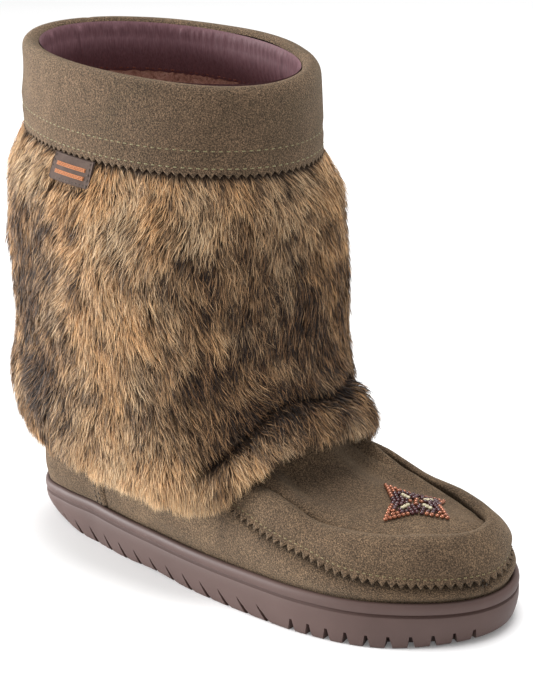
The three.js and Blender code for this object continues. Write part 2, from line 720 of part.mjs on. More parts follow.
// Cuff: a padded roll over the collar, a skirt outside the shaft and a lining band inside it
function cuffGeometry() {
  const inside = -WALL - GAP;
  const outer = GAP + CUFF_THICKNESS;
  const inner = outer - RIM_WIDTH;
  const [low, half, edge] = CUFFED_LEVELS;
  const middle = (outer + inner) / 2;
  const shoulder = COLLAR_HEIGHT - RIM_HEIGHT;
  const section = [
    { outward: GAP, level: half },
    { outward: GAP, level: low },
    { outward: outer - 0.6, level: CUFF_LEVEL },
    { outward: outer, level: THREE.MathUtils.lerp(CUFF_LEVEL, shoulder, 0.6) },
    { outward: outer + 0.3, level: shoulder + RIM_HEIGHT * 0.2 },
    { outward: outer - RIM_WIDTH * 0.14, level: COLLAR_HEIGHT - RIM_HEIGHT * 0.2 },
    { outward: middle, level: COLLAR_HEIGHT },
    { outward: inner + RIM_WIDTH * 0.14, level: COLLAR_HEIGHT - RIM_HEIGHT * 0.2 },
    { outward: inner, level: shoulder + RIM_HEIGHT * 0.1 },
    { outward: inner + RIM_WIDTH * 0.16, level: shoulder - RIM_HEIGHT * 0.7 },
    { outward: inside - LINING_THICKNESS, level: half },
    { outward: inside, level: half },
    { outward: inside, level: edge + GAP },
    { outward: GAP, level: edge + GAP },
  ];
  return loopOfRings(section.map((point) => shaftRing(point.level, point.outward)));
}

// Fur sleeve
function hemHeight(turn) {
  const degrees = THREE.MathUtils.radToDeg(Math.abs(Math.atan2(Math.sin(turn), Math.cos(turn))));
  return HEM_HEIGHT * lookUp(HEM, 'height', 'degrees', degrees);
}

// Point of the fur at a share of the way from the cuff down to the hem, raised by a distance
function furPoint(turn, down, raised) {
  const away = Math.abs(Math.atan2(Math.sin(turn), Math.cos(turn)));
  const columns = FUR_COLUMNS.map(({ at, column }) => ({ at, reach: lookUp(FUR_ROWS, column, 'down', down) }));
  const reach = FUR_DEPTH * lookUp(columns, 'reach', 'at', away);
  const top = CUFF_LEVEL - GAP;
  const level = THREE.MathUtils.lerp(top, hemHeight(turn), down);
  return shaftPoint(turn, level, reach + raised);
}

// One lock: a leaf of hair that leaves the surface at its root, swells and ends in a point
function lockGeometry(turn, down, lean, size) {
  const sides = 4;
  const stations = [
    { along: 0.3, wide: 1, deep: 1, lift: -0.45 },
    { along: 0.72, wide: 0.82, deep: 1, lift: -0.05 },
  ];
  const travel = CUFF_LEVEL - HEM_HEIGHT;
  const length = LOCK_LENGTH * size;
  const place = (along) => {
    const point = furPoint(turn + lean * along, Math.min(1, down + along * length / travel), 0);
    const below = Math.max(0, down + along * length / travel - 1) * travel;
    return point.setZ(point.z - below);
  };
  const outward = (along) => {
    const angle = turn + lean * along;
    return new THREE.Vector3(Math.cos(angle) / SHAFT_LENGTH, Math.sin(angle) / SHAFT_WIDTH, 0).normalize();
  };
  const points = [];
  stations.forEach(({ along, wide, deep, lift }) => {
    const out = outward(along);
    const across = new THREE.Vector3(-out.y, out.x, 0);
    const centre = place(along).addScaledVector(out, LOCK_RISE * size * lift);
    for (let side = 0; side < sides; side += 1) {
      const angle = (side / sides) * 2 * Math.PI;
      points.push(centre.clone()
        .addScaledVector(across, Math.cos(angle) * wide * LOCK_WIDTH * size / 2)
        .addScaledVector(out, Math.sin(angle) * deep * LOCK_RISE * size));
    }
  });
  const root = points.length;
  points.push(place(0).addScaledVector(outward(0), -LOCK_RISE * size));
  points.push(place(1).addScaledVector(outward(1), LOCK_RISE * size * 0.1));
  const triangles = [];
  stations.slice(1).forEach((unused, index) => {
    stripBetween(triangles, index * sides, (index + 1) * sides, sides);
  });
  const lastStart = (stations.length - 1) * sides;
  for (let side = 0; side < sides; side += 1) {
    const next = (side + 1) % sides;
    triangles.push([root, next, side]);
    triangles.push([root + 1, lastStart + side, lastStart + next]);
  }
  return closedGeometry(points, triangles);
}

// The space that the fur keeps clear: the upper with the vamp on it
function furHollow() {
  const levels = [2.6, 4, ROLL_TOP, 5.3, 6, 7, 8.4, 10.4, 12, 13.3, ANKLE, ANKLE + 2];
  const clearance = VAMP_GAP + VAMP_THICKNESS + GAP + HEM_CLEARANCE;
  const rings = levels.map((level) => ringOf((turn) => (
    skinOffset(turn, level, THREE.MathUtils.lerp(clearance, GAP, THREE.MathUtils.smoothstep(level, VAMP_TOP, ANKLE)))
  )));
  rings.push(shaftRing(CUFFED_LEVELS[0], GAP), shaftRing(CUFFED_LEVELS[1], GAP));
  return stackOfRings(rings);
}

function furGeometry() {
  const rings = FUR_ROWS.map(({ down }) => ringOf((turn) => furPoint(turn, down, 0)));
  let fur = solidOf(stackOfRings(rings));
  LOCK_ROWS.forEach(({ down, count, lean, size }, row) => {
    for (let index = 0; index < count; index += 1) {
      const turn = ((index + row * 0.37) / count) * 2 * Math.PI;
      const grown = size * (1 + 0.14 * Math.sin(index * 2.4 + row));
      fur = fur.add(solidOf(lockGeometry(turn, down, lean * Math.cos(index * 1.7), grown)));
    }
  });
  return geometryOf(fur.subtract(solidOf(furHollow())));
}

// Label: a blank leather tab under the cuff's edge, on the fur of the outer side
function labelGeometry() {
  const columns = 6;
  const reach = LABEL_WIDTH / SHAFT_LENGTH;
  const drop = LABEL_HEIGHT / (CUFF_LEVEL - HEM_HEIGHT);
  const rows = [0.004, 0.5 * drop, drop];
  const grid = (outward) => rows.map((down) => Array.from({ length: columns + 1 }, (unused, column) => (
    furPoint(LABEL_TURN + THREE.MathUtils.lerp(-reach, reach, column / columns), down, outward)
  )));
  return sheetBetween(grid(2 * GAP), grid(2 * GAP + LABEL_THICKNESS));
}

// Turn and level at which the skin lies over a place of the instep
function skinPlace(x, y) {
  let turn = 0;
  let level = PLUG_EDGE + 1.5;
  const step = 1e-3;
  for (let round = 0; round < 30; round += 1) {
    const here = skinPoint(turn, level);
    const byTurn = skinPoint(turn + step, level).sub(here).divideScalar(step);
    const byLevel = skinPoint(turn, level + step).sub(here).divideScalar(step);
    const determinant = byTurn.x * byLevel.y - byTurn.y * byLevel.x;
    const [dx, dy] = [x - here.x, y - here.y];
    turn += (dx * byLevel.y - dy * byLevel.x) / determinant;
    level += (byTurn.x * dy - byTurn.y * dx) / determinant;
  }
  return { turn, level };
}

// Bead star: pointed arms on a thin backing, laid on the vamp
function starGeometry() {
  const centre = new THREE.Vector2(HALF_LENGTH - STAR_SETBACK, STAR_SHIFT);
  const outline = [];
  STAR_ARMS.forEach(({ degrees, reach }, arm) => {
    const next = STAR_ARMS[(arm + 1) % STAR_ARMS.length];
    const between = (degrees + next.degrees + (next.degrees < degrees ? 360 : 0)) / 2;
    const tip = new THREE.Vector2(reach, 0).rotateAround(new THREE.Vector2(), THREE.MathUtils.degToRad(degrees));
    const waist = new THREE.Vector2(STAR_WAIST, 0).rotateAround(new THREE.Vector2(), THREE.MathUtils.degToRad(between));
    const nextTip = new THREE.Vector2(next.reach, 0)
      .rotateAround(new THREE.Vector2(), THREE.MathUtils.degToRad(next.degrees));
    outline.push(tip, tip.clone().lerp(waist, 0.5), waist, waist.clone().lerp(nextTip, 0.5));
  });
  const ring = (share) => outline.map((point) => centre.clone().addScaledVector(point, share));
  const laid = (points, outward) => points.map((point) => {
    const { turn, level } = skinPlace(point.x, point.y);
    return skinOffset(turn, level, outward);
  });
  const under = VAMP_GAP + VAMP_THICKNESS + 2 * GAP;
  const over = under + STAR_THICKNESS;
  const points = [
    ...laid([centre], under), ...laid(ring(0.5), under), ...laid(ring(1), under),
    ...laid(ring(1), over - STAR_THICKNESS * 0.3), ...laid(ring(0.5), over), ...laid([centre], over),
  ];
  const count = outline.length;
  const triangles = [];
  for (let band = 0; band < 3; band += 1) {
    stripBetween(triangles, 1 + band * count, 1 + (band + 1) * count, count);
  }
  const lastRing = 1 + 3 * count;
  for (let i = 0; i < count; i += 1) {
    const next = (i + 1) % count;
    triangles.push([0, 1 + next, 1 + i]);
    triangles.push([lastRing + count, lastRing + i, lastRing + next]);
  }
  return closedGeometry(points, triangles);
}

// Assembly
function finish(color, roughness) {
  return new THREE.MeshStandardMaterial({ color, roughness, metalness: 0, flatShading: true });
}

const PIECES = [
  { name: 'outsole', geometry: outsoleGeometry(), material: finish('#6d5a55', 0.6) },
  { name: 'insole', geometry: insoleGeometry(), material: finish('#4a3530', 0.95) },
  { name: 'upper', geometry: upperGeometry(), material: finish('#6b6150', 0.95) },
  { name: 'vamp', geometry: vampGeometry(), material: finish('#655b4b', 0.95) },
  { name: 'heel_counter', geometry: counterGeometry(), material: finish('#6b6150', 0.95) },
  { name: 'cuff', geometry: cuffGeometry(), material: finish('#5f5849', 0.95) },
  { name: 'fur_sleeve', geometry: furGeometry(), material: finish('#8a6c48', 1) },
  { name: 'side_label', geometry: labelGeometry(), material: finish('#5b5450', 0.7) },
  { name: 'bead_star', geometry: starGeometry(), material: finish('#a05b45', 0.35) },
];

const boot = new THREE.Group();
PIECES.forEach(({ name, geometry, material }) => {
  const piece = new THREE.Mesh(geometry, material);
  piece.name = name;
  boot.add(piece);
});

// The origin lies on the floor, under the middle of the whole boot
const extent = new THREE.Box3().setFromObject(boot, true);
const middle = extent.getCenter(new THREE.Vector3());
boot.position.set(-middle.x, -middle.y, -extent.min.z);
boot.updateMatrixWorld(true);

export default boot;
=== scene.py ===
"""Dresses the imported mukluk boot: suede foot, pinked cuff, rabbit fur, beads and a rubber sole."""

import logging
import math
from dataclasses import dataclass, field
from enum import Enum, IntEnum
from typing import Any, Sequence

import bmesh
import bpy
import numpy as np
from mathutils import Matrix, Vector


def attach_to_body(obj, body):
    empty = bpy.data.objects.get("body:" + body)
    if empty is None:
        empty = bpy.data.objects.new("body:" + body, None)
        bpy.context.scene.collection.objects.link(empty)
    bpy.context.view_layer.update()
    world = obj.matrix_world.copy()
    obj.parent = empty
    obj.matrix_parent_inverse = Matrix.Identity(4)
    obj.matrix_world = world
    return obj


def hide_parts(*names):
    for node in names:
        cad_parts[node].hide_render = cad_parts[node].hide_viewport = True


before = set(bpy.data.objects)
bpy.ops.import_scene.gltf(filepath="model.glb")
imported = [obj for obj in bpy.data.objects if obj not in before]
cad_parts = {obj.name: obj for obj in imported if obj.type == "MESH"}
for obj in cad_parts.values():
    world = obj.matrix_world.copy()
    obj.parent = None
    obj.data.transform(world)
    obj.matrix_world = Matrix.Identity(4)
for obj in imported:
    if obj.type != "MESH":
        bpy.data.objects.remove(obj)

Array = np.ndarray
Material = bpy.types.Material
Piece = bpy.types.Object
Socket = bpy.types.NodeSocket
LOG = logging.getLogger("mukluk")
MM = 0.001
IMAGE_SIZE = (533, 673)

# Sizes in millimetres, as in the part's source
SOLE_LENGTH = 280.0
BALL_WIDTH = 101.0
HEEL_END_RADIUS = 40.0
TOE_END_RADIUS = 31.0
TOE_SWING = 6.4
SOLE_HEIGHT = 21.5
FOOTBED_HEIGHT = 14.0
LIP_WIDTH = 3.2
LIP_CLEARANCE = 0.4
TOE_SPRING = 1.8
HEEL_BEVEL = 1.5
ARCH_LIFT = 1.2
WALL = 2.4
GAP = 0.3
TOE_HEIGHT = 48.0
INSTEP_HEIGHT = 101.0
COLLAR_HEIGHT = 246.5
COLLAR_SLOPE = 0.096
SHAFT_LENGTH = 157.0
SHAFT_WIDTH = 110.0
SHAFT_SETBACK = 48.0
CUFF_DEPTH = 40.0
FUR_DEPTH = 13.5
HEM_HEIGHT = 58.0
TAB_WIDTH = 25.0
TAB_HEIGHT = 11.0
TAB_TURN = -math.pi / 2 - 0.02
HALF_LENGTH = SOLE_LENGTH / 2
FIT_INSET = LIP_WIDTH + LIP_CLEARANCE
UPPER_RISE = TOE_HEIGHT - SOLE_HEIGHT
CUFF_LEVEL = COLLAR_HEIGHT - CUFF_DEPTH
COLLAR_EDGE = 0.963

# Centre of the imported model's box, from the middle of the sole
MIDDLE = np.array([1.622, 0.396, 0.0])

# Half widths of the sole as shares of the ball width: place, outer side, inner side
OUTLINE = np.array([
    (-0.89, 0.320, 0.320), (-0.74, 0.386, 0.382), (-0.53, 0.412, 0.392),
    (-0.25, 0.462, 0.386), (0.0, 0.494, 0.402), (0.26, 0.503, 0.466),
    (0.5, 0.490, 0.492), (0.73, 0.428, 0.428), (0.89, 0.292, 0.292),
])
# Rows of the foot's wall: inset at toe, inset at heel, height at toe, ball, instep and heel
FOOT_ROWS = np.array([
    (-0.007, -0.012, 0.26, 0.26, 0.30, 0.30),
    (0.003, -0.004, 0.53, 0.54, 0.68, 0.75),
    (0.026, 0.006, 0.77, 0.79, 1.00, 1.10),
    (0.062, 0.017, 0.94, 0.99, 1.27, 1.32),
    (0.092, 0.025, 0.94, 1.01, 1.35, 1.48),
    (0.118, 0.032, 0.84, 0.93, 1.32, 1.62),
    (0.142, 0.039, 0.89, 1.00, 1.41, 1.76),
])
INNER_DROP = 4.0
INNER_DROP_TURN = 0.56
INNER_DROP_SPREAD = 0.36
FOOT_PLACES = (-1.0, -0.5, 0.28, 0.55, 0.85, 1.0)
FOOT_COLUMNS = (5, 5, 4, 3, 2, 2)
INSTEP_ROWS = np.array([
    (0.216, 0.066), (0.443, 0.105), (0.648, 0.180), (0.807, 0.310), (0.909, 0.530), (0.970, 0.795),
])
# Sections of the shaft: place, length, width, setback, slope
SHAFT_ROWS = np.array([
    (0.412, 1.000, 0.990, 1.00, 0.35), (0.600, 0.995, 1.000, 1.00, 0.60),
    (0.840, 0.990, 1.010, 0.97, 1.00), (0.963, 0.962, 0.975, 0.94, 1.00),
    (1.000, 0.958, 0.970, 0.94, 1.00),
])
SHAFT_STEPS = (0.0, 0.14, 0.34, 0.57, 0.8, 1.0)
ANKLE_TURNS = np.array([
    (0, 0), (40, 11), (60, 19), (75, 33), (90, 57), (112, 88), (138, 124), (180, 180),
], float)
VAMP_EDGE = np.array([
    (0.08, 1.10), (0.2, 0.96), (0.335, 0.76), (0.5, 0.59), (0.62, 0.44), (0.82, 0.32), (1.0, 0.275),
])
# Reach of the fur: share of the way down, then rear, side, corner and front
FUR_ROWS = np.array([
    (0.00, 0.20, 0.20, 0.20, 0.20), (0.06, 0.48, 0.46, 0.46, 0.46), (0.15, 0.78, 0.72, 0.72, 0.72),
    (0.32, 1.00, 0.80, 0.82, 0.84), (0.52, 1.03, 0.84, 0.84, 0.84), (0.70, 1.06, 0.86, 0.86, 0.90),
    (0.84, 1.16, 0.94, 1.14, 1.60), (0.93, 1.12, 0.98, 1.42, 2.20), (1.00, 0.86, 0.76, 1.20, 2.10),
])
FUR_PLACES = (0.0, math.pi / 4, math.pi / 2, math.pi)
HEM = np.array([
    (0, 1.28), (18, 1.20), (32, 0.94), (46, 0.80), (65, 0.84), (95, 0.93), (130, 1.00), (180, 1.04),
])
SEAT_ROWS = 2
PLUG_EDGE = SEAT_ROWS + len(FOOT_ROWS) - 1
ANKLE = PLUG_EDGE + len(INSTEP_ROWS) + 1
COLLAR = ANKLE + len(SHAFT_STEPS) - 1
VAMP_TOP = 13.6
# Stitch rows of the cuff: height above its lower edge and depth drawn in
STITCH_DIPS = ((2.7, 0.35), (10.4, 0.6))


def smooth_step(value: Array | float, low: float, high: float) -> Array:
    """Eases values from 0 at low to 1 at high."""
    share = np.clip((np.asarray(value, float) - low) / (high - low), 0.0, 1.0)
    return share * share * (3.0 - 2.0 * share)


def look_up(keys: Sequence[float] | Array, values: Array, place: Array | float) -> Array:
    """Reads a table between its rows with no overshoot.

    Args:
        keys: The rising places of the rows.
        values: One value for each row, or one such list for each place.
        place: Where to read.

    Returns:
        The value at each place.
    """
    key = np.asarray(keys, float)
    at = np.clip(np.asarray(place, float), key[0], key[-1])
    rows = np.broadcast_to(np.asarray(values, float), at.shape + (key.size,))
    slope = np.diff(rows, axis=-1) / np.diff(key)
    product = slope[..., :-1] * slope[..., 1:]
    total = np.where(product > 0, slope[..., :-1] + slope[..., 1:], 1.0)
    inner = np.where(product > 0, 2 * product / total, 0.0)
    tangent = np.concatenate([slope[..., :1], inner, slope[..., -1:]], -1)
    index = np.clip(np.searchsorted(key, at, side="right") - 1, 0, key.size - 2)
    span = key[index + 1] - key[index]
    t = (at - key[index]) / span
    here, after = index[..., None], index[..., None] + 1
    low = np.take_along_axis(rows, here, -1)[..., 0]
    high = np.take_along_axis(rows, after, -1)[..., 0]
    leave = np.take_along_axis(tangent, here, -1)[..., 0]
    reach = np.take_along_axis(tangent, after, -1)[..., 0]
    return (
        low * (2 * t**3 - 3 * t**2 + 1) + high * (3 * t**2 - 2 * t**3)
        + leave * span * (t**3 - 2 * t**2 + t) + reach * span * (t**3 - t**2)
    )


def unit(vectors: Array) -> Array:
    """Scales vectors to a length of one."""
    return vectors / np.maximum(np.linalg.norm(vectors, axis=-1, keepdims=True), 1e-12)


def lattice_value(x: Array, y: Array, z: Array, seed: int) -> Array:
    """Fixed random number from 0 to 1 for each point of a grid of whole numbers."""
    mixed = (x * 374761393 + y * 668265263 + z * 1440662683 + seed * 974634777) & 0xFFFFFFFF
    mixed = ((mixed ^ (mixed >> 13)) * 1274126177) & 0xFFFFFFFF
    mixed = ((mixed ^ (mixed >> 15)) * 2246822519) & 0xFFFFFFFF
    return (mixed ^ (mixed >> 16)).astype(float) / 0xFFFFFFFF


def cloud(points: Array, size: float | Sequence[float], seed: int) -> Array:
    """Soft random field over points in space.

    Args:
        points: The points in millimetres.
        size: Width of one patch, or one width for each axis.
        seed: Picks another field.

    Returns:
        Values from 0 to 1.
    """
    place = points / np.asarray(size, float)
    cell = np.floor(place).astype(np.int64)
    t = place - cell
    t = t * t * (3 - 2 * t)
    total = np.zeros(points.shape[:-1])
    for corner in range(8):
        pick = np.array([corner & 1, corner >> 1 & 1, corner >> 2 & 1])
        weight = np.prod(np.where(pick, t, 1 - t), axis=-1)
        at = cell + pick
        total += weight * lattice_value(at[..., 0], at[..., 1], at[..., 2], seed)
    return total


def uneven(points: Array, size: float | Sequence[float], seed: int) -> Array:
    """The soft random field of cloud, shifted to run from -0.5 to 0.5."""
    return cloud(points, size, seed) - 0.5


def ease_angle(turn: Array) -> Array:
    """Brings turns into the range from minus half a turn to half a turn."""
    return np.arctan2(np.sin(turn), np.cos(turn))


def degrees_from(turn: Array, middle: float = 0.0) -> Array:
    """Turns in degrees from a middle in degrees, within half a turn of it."""
    return np.degrees(ease_angle(turn - math.radians(middle)))


def hump(value: Array, width: Array | float, middle: Array | float = 0.0) -> Array:
    """Smooth hump: 1 at its middle, 0.37 one width away and almost 0 two widths away."""
    return np.exp(-((value - middle) / width) ** 2)


def full_turn(columns: int) -> Array:
    """Even turns once round."""
    return np.arange(columns) * 2 * np.pi / columns


class BootForm:
    """The boot's own surfaces, in millimetres from the middle of the sole."""

    def fullness(self, column: int) -> tuple[Array, Array]:
        """Places and fullness of the outline: column 1 is the outer side and 2 the inner."""
        at = OUTLINE[:, 0]
        inner = OUTLINE[:, column] * BALL_WIDTH / np.sqrt(1 - at * at)
        heel = math.sqrt(HEEL_END_RADIUS * HALF_LENGTH)
        toe = math.sqrt(TOE_END_RADIUS * HALF_LENGTH)
        return np.concatenate([[-1.0], at, [1.0]]), np.concatenate([[heel], inner, [toe]])

    def outline(self, turn: Array) -> Array:
        """Points of the sole's outline in plan at turns from the toe."""
        at = np.cos(turn)
        outer = look_up(*self.fullness(1), at)
        inner = look_up(*self.fullness(2), at)
        wide = np.where(np.sin(turn) >= 0, inner, outer)
        swing = TOE_SWING * smooth_step(at, 0.4, 1)
        return np.stack([at * HALF_LENGTH, swing + np.sin(turn) * wide], -1)

    def inset(self, turn: Array, inset: Array | float) -> Array:
        """The outline in plan at turns from the toe, moved in by a distance square to itself."""
        along = unit(self.outline(turn + 0.01) - self.outline(turn - 0.01))
        inward = np.stack([-along[..., 1], along[..., 0]], -1)
        return self.outline(turn) + inward * np.asarray(inset, float)[..., None]

    def shaft(self, turn: Array, level: Array | float, outward: Array | float) -> Array:
        """Points of the shaft.

        Args:
            turn: Turns from the front.
            level: Heights at the shaft's middle.
            outward: Distance out from the shaft's surface.

        Returns:
            Points in space.
        """
        turn, level, outward = np.broadcast_arrays(*(np.asarray(v, float) for v in (turn, level, outward)))
        place = level / COLLAR_HEIGHT
        length, width, setback, slope = (
            look_up(SHAFT_ROWS[:, 0], SHAFT_ROWS[:, column], place) for column in (1, 2, 3, 4)
        )
        half, wide = length * SHAFT_LENGTH / 2, width * SHAFT_WIDTH / 2
        x, y = half * np.cos(turn), wide * np.sin(turn)
        normal = unit(np.stack([np.cos(turn) / half, np.sin(turn) / wide], -1))
        return np.stack([
            x - setback * SHAFT_SETBACK + normal[..., 0] * outward,
            y + normal[..., 1] * outward,
            level - slope * COLLAR_SLOPE * x,
        ], -1)

    def foot_row(self, turn: Array, row: Array) -> Array:
        """Points of one row of the foot's wall.

        Args:
            turn: Turns from the toe.
            row: The row's insets and heights.

        Returns:
            Points in space.
        """
        at = np.cos(turn)
        front = smooth_step(at, -0.12, 0.34)
        inset = (row[1] + (row[0] - row[1]) * front) * BALL_WIDTH
        height = look_up(FOOT_PLACES, np.array([row[column] for column in FOOT_COLUMNS]), at)
        plan = self.inset(turn, FIT_INSET + inset)
        drop = INNER_DROP * hump(ease_angle(turn - INNER_DROP_TURN), INNER_DROP_SPREAD)
        height = SOLE_HEIGHT + UPPER_RISE * height - drop * smooth_step(row[2], 0.5, 0.82)
        return np.stack([plan[..., 0], plan[..., 1], height], -1)

    def knots(self, turn: Array) -> Array:
        """Knots of the upper's skin, from its seat to the collar, at each turn."""
        seat = self.inset(turn, FIT_INSET)
        rows = [np.column_stack([seat, np.full(len(seat), height)])
                for height in (FOOTBED_HEIGHT + GAP, SOLE_HEIGHT)]
        rows += [self.foot_row(turn, row) for row in FOOT_ROWS]
        wrapped = ease_angle(turn)
        swung = look_up(ANKLE_TURNS[:, 0], ANKLE_TURNS[:, 1], np.degrees(np.abs(wrapped)))
        ankle = np.sign(wrapped) * np.radians(swung)
        start, end = rows[-1], self.shaft(ankle, INSTEP_HEIGHT, 0.0)
        for run, rise in INSTEP_ROWS:
            rows.append(start + (end - start) * np.array([run, run, rise]))
        for step in SHAFT_STEPS:
            share = min(1.0, step / SHAFT_STEPS[3])
            height = INSTEP_HEIGHT + (COLLAR_EDGE * COLLAR_HEIGHT - INSTEP_HEIGHT) * step
            rows.append(self.shaft(ankle + (wrapped - ankle) * share, height, 0.0))
        return np.stack(rows, 1)

    def skin(self, turn: Array, level: Array) -> Array:
        """Points of the upper's outer skin.

        Args:
            turn: One turn for each column.
            level: Levels for each column, in knots.

        Returns:
            Points by column and level.
        """
        place = np.clip(level, 0, COLLAR)
        knot = np.minimum(np.floor(place).astype(int), COLLAR - 1)
        t = (place - knot)[..., None]
        table = self.knots(turn)
        columns = np.arange(len(turn))[:, None]
        a, b, c, d = (table[columns, np.clip(knot + step, 0, COLLAR)] for step in (-1, 0, 1, 2))
        return b + 0.5 * t * (c - a + t * (2 * a - 5 * b + 4 * c - d + t * (3 * (b - c) + d - a)))

    def skin_normal(self, turn: Array, level: Array) -> Array:
        """Unit vectors square to the skin, outwards, by column and level."""
        around = self.skin(turn + 0.02, level) - self.skin(turn - 0.02, level)
        upward = self.skin(turn, level + 0.05) - self.skin(turn, level - 0.05)
        normal = unit(np.cross(around, upward))
        normal[..., 2] = np.where(level < 1, 0.0, normal[..., 2])
        return unit(normal)

    def skin_offset(self, turn: Array, level: Array, outward: Array | float) -> Array:
        """The skin moved out by one distance, or by one for each point, by column and level."""
        lift = np.broadcast_to(np.asarray(outward, float), level.shape)[..., None]
        return self.skin(turn, level) + self.skin_normal(turn, level) * lift

    def level_at(self, turn: Array, height: Array | float) -> Array:
        """Level at which the foot's wall reaches a height above the floor, at each turn."""
        low = np.full(len(turn), 1.0)
        high = np.full(len(turn), SEAT_ROWS + 3.0)
        for _ in range(22):
            middle = (low + high) / 2
            below = self.skin(turn, middle[:, None])[:, 0, 2] < height
            low, high = np.where(below, middle, low), np.where(below, high, middle)
        return (low + high) / 2

    def vamp_edge_height(self, turn: Array) -> Array:
        """Height of the vamp's lower edge at each turn."""
        inner_rise = 2.6 * smooth_step(ease_angle(turn), -0.12, 0.25)
        return SOLE_HEIGHT + inner_rise + UPPER_RISE * look_up(VAMP_EDGE[:, 0], VAMP_EDGE[:, 1], np.cos(turn))

    def hem_height(self, turn: Array) -> Array:
        """Height of the fur's hem at each turn."""
        return HEM_HEIGHT * look_up(HEM[:, 0], HEM[:, 1], np.degrees(np.abs(ease_angle(turn))))

    def fur(self, turn: Array, down: Array, raised: Array | float) -> Array:
        """Points of the fur's surface by turn and share of the way down, raised by a distance."""
        turn, down, raised = np.broadcast_arrays(*(np.asarray(v, float) for v in (turn, down, raised)))
        columns = [look_up(FUR_ROWS[:, 0], FUR_ROWS[:, pick], down) for pick in (4, 3, 2, 1)]
        reach = FUR_DEPTH * look_up(FUR_PLACES, np.stack(columns, -1), np.abs(ease_angle(turn)))
        top = CUFF_LEVEL - GAP
        level = top + (self.hem_height(turn) - top) * down
        return self.shaft(turn, level, reach + raised)

    def skin_place(self, x: Array, y: Array) -> tuple[Array, Array]:
        """Turn and level at which the skin of the plug lies over points in plan.

        Args:
            x: Places along the foot.
            y: Places across the foot.

        Returns:
            The turns and the levels.
        """
        turn = np.zeros(len(x))
        level = np.full(len(x), PLUG_EDGE + 1.5)
        step = 1e-3
        for _ in range(30):
            here = self.skin(turn, level[:, None])[:, 0]
            by_turn = (self.skin(turn + step, level[:, None])[:, 0] - here) / step
            by_level = (self.skin(turn, level[:, None] + step)[:, 0] - here) / step
            area = by_turn[:, 0] * by_level[:, 1] - by_turn[:, 1] * by_level[:, 0]
            area = np.where(np.abs(area) < 1e-6, 1e-6, area)
            dx, dy = x - here[:, 0], y - here[:, 1]
            turn = turn + np.clip((dx * by_level[:, 1] - dy * by_level[:, 0]) / area, -0.5, 0.5)
            level = level + np.clip((by_turn[:, 0] * dy - by_turn[:, 1] * dx) / area, -1, 1)
        return turn, level


FORM = BootForm()


class Slot(Enum):
    """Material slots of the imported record."""

    RUBBER = "rubber"
    FLEECE = "fleece"
    SUEDE = "suede"
    FUR = "fur"
    LABEL = "label_leather"
    BEADS = "beads"


Colour = tuple[float, float, float, float]
Inputs = dict[str | int, Any]


def linear(hex_colour: str, share: float = 1.0) -> Colour:
    """Turns an sRGB hex colour to linear light, of which a share is kept."""
    parts = [int(hex_colour[place:place + 2], 16) / 255 for place in (1, 3, 5)]
    lit = [part / 12.92 if part <= 0.04045 else ((part + 0.055) / 1.055) ** 2.4 for part in parts]
    return (share * lit[0], share * lit[1], share * lit[2], 1.0)


def per_mm(size: float) -> float:
    """Texture scale whose features are size millimetres wide."""
    return 1000.0 / size


class Tree:
    """The node tree of a new material, and the nodes that the finishes share."""

    def __init__(self, name: str) -> None:
        """Starts an empty material of this name."""
        self.material = bpy.data.materials.new(name)
        self.material.use_nodes = True
        self.material.node_tree.nodes.clear()

    def add(self, kind: str, inputs: Inputs | None = None, **settings: Any) -> bpy.types.Node:
        """Adds a node with its settings and links.

        Args:
            kind: Blender's name of the node type after "ShaderNode".
            inputs: Values or output sockets by input name or number.
            **settings: Attributes of the node.

        Returns:
            The node.
        """
        tree = self.material.node_tree
        node = tree.nodes.new("ShaderNode" + kind)
        for key, value in settings.items():
            setattr(node, key, value)
        for key, value in (inputs or {}).items():
            if isinstance(value, Socket):
                tree.links.new(value, node.inputs[key])
            else:
                node.inputs[key].default_value = value
        return node

    def place(self, flat: float = 1.0) -> Socket:
        """Places on the object, with heights shrunk to the share flat of themselves."""
        place = self.add("TexCoord").outputs["Object"]
        if flat == 1.0:
            return place
        return self.add("Mapping", {"Vector": place, "Scale": (1.0, 1.0, flat)}).outputs[0]

    def noise(self, size: float, detail: float, flat: float = 1.0, **inputs: float) -> Socket:
        """Noise from 0 to 1: the width of its features in millimetres, its finer layers and its inputs."""
        set_up = {"Vector": self.place(flat), "Scale": per_mm(size), "Detail": detail, **inputs}
        return self.add("TexNoise", set_up).outputs["Fac"]

    def ramp(self, share: Socket, *stops: tuple[float, Colour]) -> Socket:
        """Colours along a share, from places and their colours."""
        node = self.add("ValToRGB", {"Fac": share})
        elements = node.color_ramp.elements
        while len(elements) < len(stops):
            elements.new(0.5)
        for element, (place, colour) in zip(elements, stops):
            element.position, element.color = place, colour
        return node.outputs[0]

    def spread(self, share: Socket, low: float, high: float) -> Socket:
        """Values from low to high along a share."""
        return self.add("MapRange", {0: share, 3: low, 4: high}).outputs[0]

    def bump(self, height: Socket, strength: float, depth: float) -> Socket:
        """Surface direction over a relief whose depth is in millimetres."""
        return self.add("Bump", {"Height": height, "Strength": strength, "Distance": depth * MM}).outputs[0]


@dataclass(frozen=True)
class Finish:
    """A named finish that makes one material."""

    name: str

    def paint(self, tree: Tree) -> Inputs:
        """Inputs of the shader and their nodes."""
        raise NotImplementedError

    def material(self) -> Material:
        """Makes the material."""
        tree = Tree(self.name)
        shader = tree.add("BsdfPrincipled", self.paint(tree))
        tree.add("OutputMaterial", {"Surface": shader.outputs[0]})
        return tree.material


